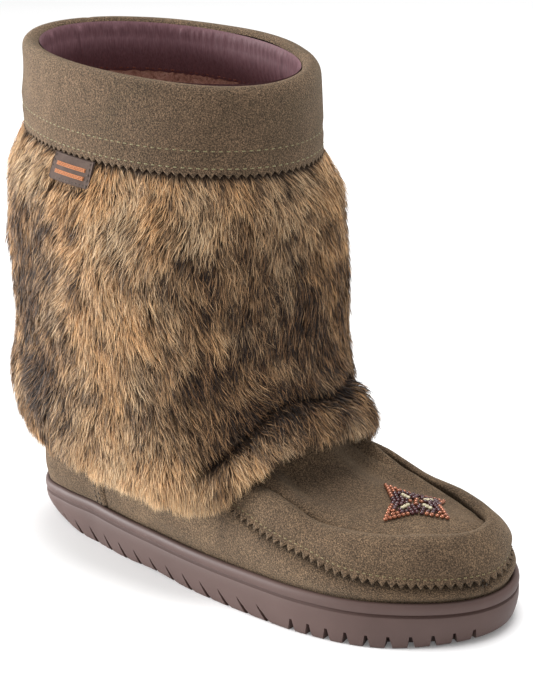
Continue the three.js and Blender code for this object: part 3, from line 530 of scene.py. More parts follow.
@dataclass(frozen=True)
class NappedSuede(Finish):
    """Cow suede, split and buffed to a short nap.

    The nap scatters light, so it is matt with a faint pale sheen, and its brushed patches and
    fibre ends make a grainy mottle.
    """

    deep: str = "#4c3d30"
    body: str = "#5a4939"
    worn: str = "#6a5744"
    # Fibre ends are about 0.2 mm wide, drawn coarser so that they show in the render
    fibre: float = 0.62
    patch: float = 24.0
    grain_depth: float = 0.6

    def paint(self, tree: Tree) -> Inputs:
        """Inputs of the shader and their nodes."""
        patches = tree.noise(self.patch, 4.0, Roughness=0.62, Distortion=0.6)
        fibres = tree.noise(self.fibre, 3.0, Roughness=0.75)
        flecks = tree.add("TexVoronoi", {"Vector": tree.place(), "Scale": per_mm(self.fibre * 1.15)})
        nap = tree.ramp(patches, (0.30, linear(self.deep)), (0.52, linear(self.body)),
                        (0.80, linear(self.worn)))
        grain = tree.ramp(fibres, (0.38, (0.30, 0.29, 0.28, 1)), (0.50, (0.88, 0.88, 0.87, 1)),
                          (0.62, (2.2, 2.18, 2.08, 1)))
        mixed = tree.add("Mix", {0: 1.0, 6: nap, 7: grain}, data_type="RGBA", blend_type="MULTIPLY")
        height = tree.add("Math", {0: fibres, 1: flecks.outputs["Distance"]}, operation="ADD")
        return {
            "Base Color": mixed.outputs[2], "Roughness": 0.94, "Specular IOR Level": 0.18,
            "Sheen Weight": 0.28, "Sheen Roughness": 0.55, "Sheen Tint": linear("#cdbba2"),
            "Normal": tree.bump(height.outputs[0], self.grain_depth, 0.8),
        }


@dataclass(frozen=True)
class CutEdgePaintedShade(Finish):
    """Raw cut edge of the suede: open fibre with no nap, dull and a little rough. Its dark colour is partly
    the raw edge and mostly painted shade for the shadow under the pinked teeth.
    """

    # Dark brown: painted shade standing in for the shadow under the pinked teeth
    colour: str = "#2f261d"

    def paint(self, tree: Tree) -> Inputs:
        """Inputs of the shader and their nodes."""
        fibre = tree.noise(0.5, 3.0)
        colour = tree.ramp(fibre, (0.4, linear(self.colour)), (0.7, linear(self.colour, 1.9)))
        return {"Base Color": colour, "Roughness": 1.0, "Specular IOR Level": 0.1}


@dataclass(frozen=True)
class MouldedRubber(Finish):
    """Vulcanised rubber from a fine-blasted mould: even and matt with a broad soft gloss."""

    body: str = "#4f3b36"
    dusty: str = "#57433e"

    def paint(self, tree: Tree) -> Inputs:
        """Inputs of the shader and their nodes."""
        bloom = tree.noise(24, 5.0)
        blast = tree.noise(0.7, 2.0)
        return {
            "Base Color": tree.ramp(bloom, (0.35, linear(self.body)), (0.75, linear(self.dusty))),
            "Roughness": tree.spread(bloom, 0.52, 0.66), "IOR": 1.52,
            "Specular IOR Level": 0.4, "Normal": tree.bump(blast, 0.12, 0.3),
        }


@dataclass(frozen=True)
class PolyesterSatin(Finish):
    """Warp-faced polyester satin: smooth floats give a soft streaked gloss over the gathers."""

    body: str = "#64434a"
    bright: str = "#7d5a60"
    # Satin floats are about 0.1 mm wide, drawn coarser so that they show in the render
    thread: float = 0.5

    def paint(self, tree: Tree) -> Inputs:
        """Inputs of the shader and their nodes."""
        floats = tree.noise(self.thread, 2.0, flat=0.12)
        return {
            "Base Color": tree.ramp(floats, (0.3, linear(self.body)), (0.75, linear(self.bright))),
            "Roughness": 0.58, "IOR": 1.5, "Specular IOR Level": 0.3, "Sheen Weight": 0.1,
            "Sheen Roughness": 0.35, "Sheen Tint": linear("#b79aa0"), "Normal": tree.bump(floats, 0.15, 0.2),
        }


@dataclass(frozen=True)
class ShearlingPile(Finish):
    """Sheared brown pile: short curled tufts, soft at their ends. The dark between them is painted shade,
    darker where the tufts' bump is low.
    """

    deep: str = "#7a5045"
    body: str = "#b98a7a"
    tips: str = "#dab19f"
    tuft: float = 3.2

    def paint(self, tree: Tree) -> Inputs:
        """Inputs of the shader and their nodes."""
        tufts = tree.noise(self.tuft, 6.0, Roughness=0.7, Distortion=1.4)
        # Darker where the tufts' bump is low: painted shade between the tufts
        colour = tree.ramp(tufts, (0.34, linear(self.deep)), (0.52, linear(self.body)),
                           (0.74, linear(self.tips)))
        return {
            "Base Color": colour, "Roughness": 1.0, "Specular IOR Level": 0.1, "Sheen Weight": 0.5,
            "Sheen Roughness": 0.6, "Sheen Tint": linear("#b08a78"), "Normal": tree.bump(tufts, 0.8, 2.0),
        }


@dataclass(frozen=True)
class RabbitHair(Finish):
    """Rabbit guard hair, grown in bands: grey root, golden middle and dark or pale tip.

    Each hair is smooth keratin, so it has a thin soft gleam along its length.
    """

    roughness: float = 0.62

    def paint(self, tree: Tree) -> Inputs:
        """Inputs of the shader and their nodes."""
        colour = tree.add("Attribute", attribute_name="hair_colour").outputs["Color"]
        return {"Base Color": colour, "Roughness": self.roughness, "IOR": 1.55, "Specular IOR Level": 0.22}


@dataclass(frozen=True)
class RabbitUndercoat(Finish):
    """Dense wool under the guard hair: dull grey-brown. It is darkest where the bump is low, as painted shade
    between the locks.
    """

    deep: str = "#2a211c"
    body: str = "#4a3b30"
    tuft: float = 2.4

    def paint(self, tree: Tree) -> Inputs:
        """Inputs of the shader and their nodes."""
        # This noise also darkens the colour where the bump is low: painted shade between the locks
        wool = tree.noise(self.tuft, 6.0, flat=0.25, Roughness=0.7)
        return {
            "Base Color": tree.ramp(wool, (0.35, linear(self.deep)), (0.7, linear(self.body))),
            "Roughness": 1.0, "Specular IOR Level": 0.08, "Normal": tree.bump(wool, 0.7, 1.5),
        }


@dataclass(frozen=True)
class SpunThread(Finish):
    """Twisted polyester sewing thread: a dull cord with fine slanting plies."""

    colour: str

    def paint(self, tree: Tree) -> Inputs:
        """Inputs of the shader and their nodes."""
        # Plies are about 0.3 mm apart, drawn coarser so that they show in the render
        plies = tree.add("TexWave", {
            "Vector": tree.place(), "Scale": per_mm(2.0), "Distortion": 1.5, "Detail": 2.0,
        }, bands_direction="DIAGONAL").outputs["Fac"]
        return {
            "Base Color": tree.ramp(plies, (0.1, linear(self.colour, 0.55)), (0.5, linear(self.colour))),
            "Roughness": 0.7, "Specular IOR Level": 0.3, "Sheen Weight": 0.2,
            "Normal": tree.bump(plies, 0.4, 0.2),
        }


@dataclass(frozen=True)
class TabLeather(Finish):
    """Corrected grain leather, dyed grey and pressed: small pebbles under a thin matt coat."""

    body: str = "#4a3c35"
    rubbed: str = "#574840"

    def paint(self, tree: Tree) -> Inputs:
        """Inputs of the shader and their nodes."""
        pebbles = tree.add("TexVoronoi", {"Vector": tree.place(), "Scale": per_mm(0.9)}, feature="SMOOTH_F1")
        tone = tree.noise(5, 4.0)
        return {
            "Base Color": tree.ramp(tone, (0.35, linear(self.body)), (0.75, linear(self.rubbed))),
            "Roughness": 0.8, "Specular IOR Level": 0.2,
            "Normal": tree.bump(pebbles.outputs["Distance"], 0.35, 0.3),
        }


@dataclass(frozen=True)
class SeedBead(Finish):
    """Drawn glass seed bead, tumbled smooth: each one carries its own small highlight."""

    colour: str
    metallic: float = 0.0
    roughness: float = 0.22

    def paint(self, tree: Tree) -> Inputs:
        """Inputs of the shader and their nodes."""
        tone = tree.noise(1.6, 1.0)
        return {
            "Base Color": tree.ramp(tone, (0.3, linear(self.colour, 0.6)), (0.6, linear(self.colour))),
            "Metallic": self.metallic,
            "Roughness": tree.spread(tone, self.roughness * 0.8, self.roughness * 1.3),
            "Coat Weight": 0.5, "Coat Roughness": 0.1,
        }


@dataclass(frozen=True)
class StudioPaper(Finish):
    """Seamless white background paper: even and matt."""

    colour: str = "#f2f2f2"

    def paint(self, tree: Tree) -> Inputs:
        """Inputs of the shader."""
        return {
            "Base Color": linear(self.colour), "Roughness": 0.9, "Specular IOR Level": 0.1,
            "Emission Color": linear(self.colour), "Emission Strength": 0.09,
        }


def made(finish: Finish) -> Any:
    """Wardrobe field that makes its material when the wardrobe is opened."""
    return field(default_factory=finish.material)


@dataclass
class Wardrobe:
    """All finishes of the boot, made once."""

    suede: Material = made(NappedSuede("suede_napped_olive"))
    cuff_suede: Material = made(NappedSuede("suede_napped_cuff", "#4d3f31", "#584738", "#655241"))
    # Dark cut edge: painted shade under the pinked teeth of the vamp and the cuff
    cut_edge_painted_shade: Material = made(CutEdgePaintedShade("suede_cut_edge_painted_shade"))
    rubber: Material = made(MouldedRubber("rubber_moulded_brown"))
    satin: Material = made(PolyesterSatin("polyester_satin_plum"))
    pile: Material = made(ShearlingPile("shearling_sheared_brown"))
    hair: Material = made(RabbitHair("rabbit_guard_hair"))
    undercoat: Material = made(RabbitUndercoat("rabbit_undercoat"))
    straw: Material = made(SpunThread("thread_straw", "#8f8862"))
    olive: Material = made(SpunThread("thread_olive", "#8a7d58"))
    dark: Material = made(SpunThread("thread_dark", "#3c3327"))
    russet: Material = made(SpunThread("thread_russet", "#8d4f3f"))
    orange: Material = made(SpunThread("thread_orange", "#bd7440"))
    leather: Material = made(TabLeather("leather_tab_grey"))
    copper: Material = made(SeedBead("bead_copper", "#a9694b", metallic=0.5))
    plum: Material = made(SeedBead("bead_plum", "#4a1d22", roughness=0.18))
    cream: Material = made(SeedBead("bead_cream", "#d8ccaa", roughness=0.3))


def build_mesh(
    name: str, points: Array, quads: Array, materials: Sequence[Material],
    material_index: Array | None = None, triangles: Array | None = None,
    colours: Array | None = None, smooth: bool = True,
) -> Piece:
    """Makes a mesh object from points in millimetres.

    Args:
        name: The piece's name.
        points: Points from the middle of the sole.
        quads: Four corners for each four-sided face.
        materials: The piece's materials.
        material_index: Which material each face has, quads first.
        triangles: Three corners for each three-sided face.
        colours: A colour for each point, kept as hair_colour.
        smooth: Whether faces are shaded smooth.

    Returns:
        The object, linked to the scene.
    """
    points = points.reshape(-1, 3)
    corners = quads.ravel() if triangles is None else np.concatenate([quads.ravel(), triangles.ravel()])
    sides = np.full(len(quads), 4)
    if triangles is not None:
        sides = np.concatenate([sides, np.full(len(triangles), 3)])
    starts = np.concatenate([[0], np.cumsum(sides)[:-1]])
    mesh = bpy.data.meshes.new(name)
    mesh.vertices.add(len(points))
    mesh.vertices.foreach_set("co", ((points + MIDDLE) * MM).astype(np.float32).ravel())
    mesh.loops.add(len(corners))
    mesh.loops.foreach_set("vertex_index", corners.astype(np.int32))
    mesh.polygons.add(len(sides))
    mesh.polygons.foreach_set("loop_start", starts.astype(np.int32))
    mesh.polygons.foreach_set("use_smooth", np.full(len(sides), smooth))
    for material in materials:
        mesh.materials.append(material)
    if material_index is not None:
        mesh.polygons.foreach_set("material_index", material_index.astype(np.int32))
    if colours is not None:
        layer = mesh.color_attributes.new("hair_colour", "FLOAT_COLOR", "POINT")
        layer.data.foreach_set("color", colours.astype(np.float32).ravel())
    mesh.update(calc_edges=True)
    mesh.validate()
    piece = bpy.data.objects.new(name, mesh)
    bpy.context.scene.collection.objects.link(piece)
    return piece


def grid_quads(columns: int, rows: int, closed: bool, start: int = 0) -> Array:
    """Faces of a grid whose points run row by row in each column, numbered from start."""
    across = np.arange(columns if closed else columns - 1)
    up = np.arange(rows - 1)
    a = (across[:, None] * rows + up[None]).ravel()
    b = (((across[:, None] + 1) % columns) * rows + up[None]).ravel()
    return np.stack([a, b, b + 1, a + 1], -1) + start


def attach(piece: Piece, slot: Slot, *nodes: str) -> None:
    """Puts a piece on the boot's root body, in place of the named solids."""
    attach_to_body(piece, "root")
    if nodes:
        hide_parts(*nodes)
    LOG.info("%s: %d faces", piece.name, len(piece.data.polygons))


def walk(points: Array, pitch: float, closed: bool) -> Array:
    """Fractional point numbers at an even pitch along a line, the pitch fitted to its length."""
    line = np.concatenate([points, points[:1]]) if closed else points
    travelled = np.concatenate([[0], np.cumsum(np.linalg.norm(np.diff(line, axis=0), axis=1))])
    count = max(2, round(travelled[-1] / pitch))
    marks = np.linspace(0, travelled[-1], count, endpoint=not closed)
    return np.interp(marks, travelled, np.arange(len(line)))


def tube_faces(copies: int, rings: int, corners: int) -> Array:
    """Side faces of equal tubes, whose points run ring by ring and tube by tube."""
    corner = np.arange(corners)
    after = (corner + 1) % corners
    low = np.arange(rings - 1)[:, None] * corners
    tube = np.stack([low + corner, low + after, low + corners + after, low + corners + corner], -1)
    start = np.arange(copies)[:, None, None, None] * rings * corners
    return (tube[None] + start).reshape(-1, 4)


@dataclass(frozen=True)
class StitchRow:
    """A row of machine stitches along a line on a surface."""

    pitch: float = 3.3
    length: float = 2.4
    radius: float = 0.36
    sink: float = 0.1

    def mesh(self, points: Array, normals: Array, closed: bool) -> tuple[Array, Array]:
        """Points and faces of all its stitches.

        Args:
            points: Points of the line.
            normals: Directions out of the surface along it.
            closed: Whether the line closes.

        Returns:
            The points and the four-sided faces.
        """
        places = walk(points, self.pitch, closed)
        wrap = np.concatenate([points, points[:1]]) if closed else points
        turned = np.concatenate([normals, normals[:1]]) if closed else normals

        def read(line: Array, shift: float) -> Array:
            index = np.arange(len(line))
            return np.stack([np.interp(places + shift, index, values) for values in line.T], -1)

        at, out = read(wrap, 0.0), unit(read(turned, 0.0))
        along = unit(read(wrap, 0.5) - read(wrap, -0.5))
        side = unit(np.cross(along, out))
        # Sections of one stitch: place along it, thickness and height above the surface
        sections = (
            (-0.5, 0.25, -0.5), (-0.36, 0.9, 0.35), (0.0, 1.0, 0.6), (0.36, 0.9, 0.35), (0.5, 0.25, -0.5),
        )
        corners = 6
        rings = []
        for place, thick, lift in sections:
            centre = at + along * (place * self.length) + out * (lift * self.radius - self.sink)
            for corner in range(corners):
                angle = 2 * math.pi * corner / corners
                spoke = side * math.cos(angle) + out * math.sin(angle)
                rings.append(centre + spoke * (thick * self.radius))
        return np.stack(rings, 1).reshape(-1, 3), tube_faces(len(at), len(sections), corners)


def sew(name: str, rows: Sequence[tuple[Array, Array]], thread: Material, slot: Slot) -> None:
    """Makes one piece of several stitch rows and puts it on the boot.

    Args:
        name: The piece's name.
        rows: Points and faces of each row.
        thread: The thread's material.
        slot: Not used.
    """
    faces, start = [], 0
    for points, row_faces in rows:
        faces.append(row_faces + start)
        start += len(points)
    every_point = np.concatenate([points for points, _ in rows])
    attach(build_mesh(name, every_point, np.concatenate(faces), [thread]), slot)


def tooth(travelled: Array, pitch: float, depth: float) -> Array:
    """How far a pinked edge is drawn back: pointed teeth of one pitch, with rounded roots."""
    phase = np.abs((travelled / pitch) % 1.0 - 0.5) * 2
    return depth * (1.0 - phase) ** 0.9


def travelled_along(points: Array) -> Array:
    """Distance along a line at each of its points."""
    return np.concatenate([[0.0], np.cumsum(np.linalg.norm(np.diff(points, axis=0), axis=1))])


def upright_row(turn: float, levels: Array, raised: float, row: StitchRow) -> tuple[Array, Array]:
    """Points and faces of stitches up the skin at one turn, raised from it."""
    at, level = np.array([turn]), levels[None]
    line = FORM.skin_offset(at, level, raised)[0]
    return row.mesh(line, FORM.skin_normal(at, level)[0], False)


Solid = tuple[Array, list[list[int]]]


@dataclass
class Outsole:
    """Cup sole of moulded rubber with a rolled lip, side slashes and toe notches."""

    wardrobe: Wardrobe
    columns: int = 480
    notch_pitch: float = 9.1
    notch_width: float = 5.0
    notch_height: float = 6.2
    notch_depth: float = 7.0
    slash_pitch: float = 12.6
    slash_height: float = 8.0
    slash_depth: float = 3.2
    channel_width: float = 3.2
    channel_depth: float = 2.6
    # Places along the sole as shares of its half length
    notch_run: tuple[float, float] = (0.45, 0.985)
    slash_run: tuple[float, float] = (-0.9, 0.4)
    channels: tuple[float, ...] = (*np.linspace(0.06, 0.66, 6), *np.linspace(-0.84, -0.5, 4))
    # The side runs in below this height: by so much at the toe and at the heel, which also rises
    slope_height: float = 14.0
    slope_power: float = 1.6
    toe_inset: float = 3.0
    heel_inset: float = 5.4
    heel_raise: float = 4.0
    # A cutter starts outside the sole and below the floor, and narrows inwards
    cutter_start: float = -2.0
    cutter_bottom: float = -1.5
    cutter_narrow: float = 0.55
    # The side's section from the tread up: inset, height and share of the tread's lift
    section: tuple[tuple[float, float, float], ...] = (
        (1.6, 0.0, 1), (0.7, 0.15, 1), (0.25, 0.8, 1), (0.05, 3.0, 0.7), (0.0, 7.0, 0.3), (0.05, 11.0, 0),
        (0.15, 14.2, 0), (0.35, 15.0, 0), (1.35, 15.6, 0), (1.7, 16.0, 0), (1.35, 16.35, 0), (0.35, 16.7, 0),
        (0.05, 17.6, 0), (-0.05, 18.8, 0), (0.1, 19.9, 0), (0.55, 20.8, 0), (1.2, 21.35, 0), (1.95, 21.5, 0),
        (2.7, 21.3, 0), (3.2, 20.9, 0), (3.2, 14.0, 0),
    )

    def lift(self, at: Array | float) -> Array:
        """How far the tread lies above the floor along the sole."""
        toe = np.maximum(0, (np.asarray(at) - 0.72) / 0.28)
        heel = np.maximum(0, (-0.92 - np.asarray(at)) / 0.08)
        arch = np.maximum(0, 1 - np.abs(np.asarray(at) + 0.2) / 0.2)
        return TOE_SPRING * toe * toe + HEEL_BEVEL * heel + ARCH_LIFT * smooth_step(arch, 0, 1)

    def body(self) -> Piece:
        """The uncut sole."""
        turn = full_turn(self.columns)
        toe = smooth_step(np.cos(turn), 0.72, 1.0)
        heel = smooth_step(-np.cos(turn), 0.58, 0.94)
        rows = []
        for inset, height, share in self.section:
            low = max(0.0, 1 - height / self.slope_height)
            slope = low ** self.slope_power
            plan = FORM.inset(turn, inset + self.toe_inset * toe * slope + self.heel_inset * heel * slope)
            raised = height + share * self.lift(np.cos(turn)) + self.heel_raise * heel * low
            rows.append(np.stack([plan[:, 0], plan[:, 1], raised], -1))
        points = np.stack(rows, 1)
        count = len(self.section)
        quads, ends = [grid_quads(self.columns, count, True)], []
        half = self.columns // 2
        near = np.arange(1, half - 1)
        far = self.columns - near
        strip = np.stack([near, far, far - 1, near + 1], -1) * count
        # The tread's bottom, then the recess's floor with its faces the other way round
        for row, way in ((0, 1), (count - 1, -1)):
            quads.append((strip + row)[:, ::way])
            ends += [(np.array(corner) * count + row)[::way]
                     for corner in ((0, self.columns - 1, 1), (half, half - 1, half + 1))]
        return build_mesh("outsole_rubber", points, np.concatenate(quads), [self.wardrobe.rubber],
                          triangles=np.array(ends))

    def marks(self, run: tuple[float, float], pitch: float) -> Array:
        """Turns of marks at one pitch along the inner side between two places."""
        turn = np.linspace(math.acos(run[0]), math.acos(run[1]), 800)
        line = FORM.outline(turn)
        travelled = travelled_along(line)
        return np.interp(np.arange(0, travelled[-1], pitch), travelled, turn)

    def prism(self, turn: float, shape: Sequence[tuple[float, float]], depth: float) -> Solid:
        """A cutter pushed into the sole's side.

        Args:
            turn: Where it stands.
            shape: Its outline: distance towards the toe and height.
            depth: How far in it reaches.

        Returns:
            Its points and faces.
        """
        place = FORM.outline(np.array([turn - 0.01, turn, turn + 0.01]))
        along = unit(place[2] - place[0])
        ahead = -along if math.sin(turn) >= 0 else along
        inward = np.array([-along[1], along[0]])
        points = []
        for reach in (self.cutter_start, depth):
            narrow = 1.0 if reach < 0 else self.cutter_narrow
            for x, z in shape:
                plan = place[1] + ahead * x * narrow + inward * reach
                points.append((plan[0], plan[1], z if reach < 0 else z * 0.9 - 0.3))
        count = len(shape)
        sides = [[i, (i + 1) % count, (i + 1) % count + count, i + count] for i in range(count)]
        caps = [list(range(count))[::-1], list(range(count, 2 * count))]
        return np.array(points), sides + caps

    def side_cutters(self) -> list[Solid]:
        """The notches round the toe and the slashes along both sides."""
        below, wide, tall = self.cutter_bottom, self.notch_width, self.slash_height
        slash = [
            (-tall * 0.78, tall), (-tall * 0.30, tall * 0.36), (tall * 0.42, below),
            (tall * 0.74, below), (tall * 0.06, tall * 0.36), (-tall * 0.45, tall * 0.74),
        ]
        solids = []
        for side in (1, -1):
            for turn in self.marks(self.notch_run, self.notch_pitch):
                peak = self.notch_height + float(self.lift(math.cos(turn)))
                notch = [(-wide / 2, below), (wide / 2, below), (wide * 0.14, peak), (-wide * 0.14, peak)]
                solids.append(self.prism(side * turn, notch, self.notch_depth))
            for turn in self.marks(self.slash_run, self.slash_pitch):
                solids.append(self.prism(side * turn, slash, self.slash_depth))
        return solids

    def channel_cutters(self) -> list[Solid]:
        """The channels across the ball and across the heel, as boxes."""
        faces = [[0, 2, 3, 1], [4, 5, 7, 6], [0, 1, 5, 4], [2, 6, 7, 3], [0, 4, 6, 2], [1, 3, 7, 5]]
        margin = np.array([self.notch_depth + self.channel_width])
        half, top = self.channel_width / 2, self.channel_depth
        solids = []
        for at in self.channels:
            inner = FORM.inset(np.array([math.acos(at)]), margin)[0, 1]
            outer = FORM.inset(np.array([-math.acos(at)]), margin)[0, 1]
            x = at * HALF_LENGTH
            box = [(x + step, y, z) for z in (-top, top) for y in (outer, inner) for step in (-half, half)]
            solids.append((np.array(box), faces))
        return solids

    def cutters(self) -> Piece:
        """All notches, slashes and channels as one object."""
        points, corners = [], []
        for part, sides in self.side_cutters() + self.channel_cutters():
            start = len(points)
            points += [tuple((point + MIDDLE) * MM) for point in part]
            corners += [[start + corner for corner in side] for side in sides]
        mesh = bpy.data.meshes.new("sole_cutters")
        mesh.from_pydata(points, [], corners)
        cutter = bpy.data.objects.new("sole_cutters", mesh)
        bpy.context.scene.collection.objects.link(cutter)
        return cutter

    def build(self) -> None:
        """Cuts the sole and puts it in place."""
        sole, cutter = self.body(), self.cutters()
        for mesh in (sole.data, cutter.data):
            turn_faces_out(mesh)
        cut = sole.modifiers.new("cut", "BOOLEAN")
        cut.operation, cut.object, cut.solver, cut.use_self = "DIFFERENCE", cutter, "EXACT", True
        apply_modifiers(sole)
        bpy.data.objects.remove(cutter)
        sole.data.set_sharp_from_angle(angle=math.radians(32))
        attach(sole, Slot.RUBBER, "outsole")


def turn_faces_out(mesh: bpy.types.Mesh) -> None:
    """Turns all faces of a closed mesh outwards."""
    work = bmesh.new()
    work.from_mesh(mesh)
    bmesh.ops.recalc_face_normals(work, faces=work.faces)
    work.to_mesh(mesh)
    work.free()


def apply_modifiers(piece: Piece) -> None:
    """Replaces a piece's mesh by what its modifiers make of it."""
    graph = bpy.context.evaluated_depsgraph_get()
    graph.update()
    mesh = bpy.data.meshes.new_from_object(piece.evaluated_get(graph))
    piece.modifiers.clear()
    piece.data = mesh


def above_edge(turn: Array, level: Array) -> Array:
    """Height of the foot's skin above the vamp's lower edge."""
    return FORM.skin(turn, level)[..., 2] - FORM.vamp_edge_height(turn)[:, None]


def toe_draw(turn: Array, level: Array) -> Array:
    """Distance out of the lasted toe, below zero where its end and inner roll are drawn in."""
    angle = ease_angle(turn)[:, None]
    near_edge = hump(above_edge(turn, level), 2.7, 0.6)
    edge = 3.4 * hump(angle, 0.42, 0.42) * near_edge
    roll = 2.4 * hump(angle, 0.32, 1.02) * smooth_step(level, 3.4, 5.2)
    proud = 2.6 * hump(angle, 0.3, 0.42) * hump(level, 0.8, 6.2)
    return proud - edge - roll * (1 - smooth_step(level, 7.6, 9.0))


@dataclass
class Upper:
    """Suede wall of the foot, lined with sheared pile up to the cuff."""

    wardrobe: Wardrobe
    columns: int = 360
    outer_rows: int = 84
    inner_rows: int = 46
    # The wall has most of its outer rows below this level, and so many above it
    dense_below: float = 5.0
    rows_above: int = 31
    # Upright seam at the front of the toe, in degrees and millimetres
    seam_at: float = -9.0
    seam_width: float = 1.0
    seam_depth: float = 1.7
    stitches_beside: float = 0.9
    sunk_depth: float = 4.0

    def relief(self, turn: Array, level: Array, points: Array) -> Array:
        """Soft dents and swells of the side band.

        Args:
            turn: One turn for each column.
            level: Levels for each column.
            points: The undented points.

        Returns:
            Distance out at each point.
        """
        gentle = 0.9 * uneven(points, (26, 26, 12), 5) + 0.5 * uneven(points, (9, 9, 7), 6)
        near_lip = smooth_step(level, 1.2, 2.0)
        seam = self.seam_depth * hump(degrees_from(turn)[:, None], self.seam_width, self.seam_at)
        edge = FORM.vamp_edge_height(turn)[:, None] - 1.0
        rise = np.clip((points[..., 2] - SOLE_HEIGHT) / (edge - SOLE_HEIGHT), 0, 1)
        front = smooth_step(np.cos(turn), 0.1, 0.45)[:, None]
        swell = 1.3 * np.sin(math.pi * rise) ** 0.8 * front
        under_edge = -1.0 * hump(points[..., 2] - edge, 2.2, 0.5) * front
        band = gentle * near_lip + swell + under_edge - seam * smooth_step(level, 1.1, 1.6)
        return band + toe_draw(turn, level) - self.hidden(turn, level)

    def hidden(self, turn: Array, level: Array) -> Array:
        """How far the wall is sunk where the vamp covers it."""
        covered = smooth_step(above_edge(turn, level), -2.4, 0.8) * (1 - smooth_step(level, 12.4, 13.2))
        return self.sunk_depth * covered * smooth_step(np.cos(turn), 0.16, 0.3)[:, None]

    def build(self) -> None:
        """Builds the wall and its toe seam."""
        turn = full_turn(self.columns)
        low = np.linspace(0, self.dense_below, self.outer_rows - self.rows_above + 1)[:-1]
        levels = np.concatenate([low, np.linspace(self.dense_below, COLLAR, self.rows_above)])
        outer_level = np.broadcast_to(levels, (self.columns, len(levels)))
        bare = FORM.skin(turn, outer_level)
        outer = FORM.skin_offset(turn, outer_level, self.relief(turn, outer_level, bare))
        inward = np.linspace(COLLAR, 0, self.inner_rows)
        inner_level = np.broadcast_to(inward, (self.columns, self.inner_rows))
        inside = FORM.skin_offset(turn, inner_level, -WALL)
        tufts = 0.9 * (cloud(inside, 5.0, 8) + 0.6 * cloud(inside, 2.6, 9))
        tufts = tufts * smooth_step(inside[..., 2], 24, 40)
        # The wall is thin where the cuff is folded over it
        wall = WALL * (1 - 0.6 * smooth_step(inner_level, COLLAR - 0.6, COLLAR - 0.3))
        sunk = self.hidden(turn, inner_level) - toe_draw(turn, inner_level)
        inner = FORM.skin_offset(turn, inner_level, -wall - sunk - tufts * smooth_step(inner_level, 0.5, 2.5))
        points = np.concatenate([outer, inner], 1)
        rows = points.shape[1]
        quads = grid_quads(self.columns, rows, True)
        ring = np.arange(self.columns) * rows
        after = np.roll(ring, -1)
        base = np.stack([ring + rows - 1, after + rows - 1, after, ring], -1)
        index = np.tile((np.arange(rows - 1) >= outer.shape[1] - 1).astype(int), self.columns)
        wall = build_mesh("upper_wall", points, np.concatenate([quads, base]),
                          [self.wardrobe.suede, self.wardrobe.pile],
                          np.concatenate([index, np.ones(self.columns)]))
        attach(wall, Slot.SUEDE, "upper")
        self.toe_seam()

    def toe_seam(self) -> None:
        """Short upright seam in the band at the front of the toe."""
        row = StitchRow(pitch=2.2, length=1.5, radius=0.3)
        rows = [upright_row(math.radians(self.seam_at + side * self.stitches_beside),
                            np.linspace(1.3, 2.9, 12), 0.1, row) for side in (1, -1)]
        sew("toe_seam_stitches", rows, self.wardrobe.dark, Slot.SUEDE)


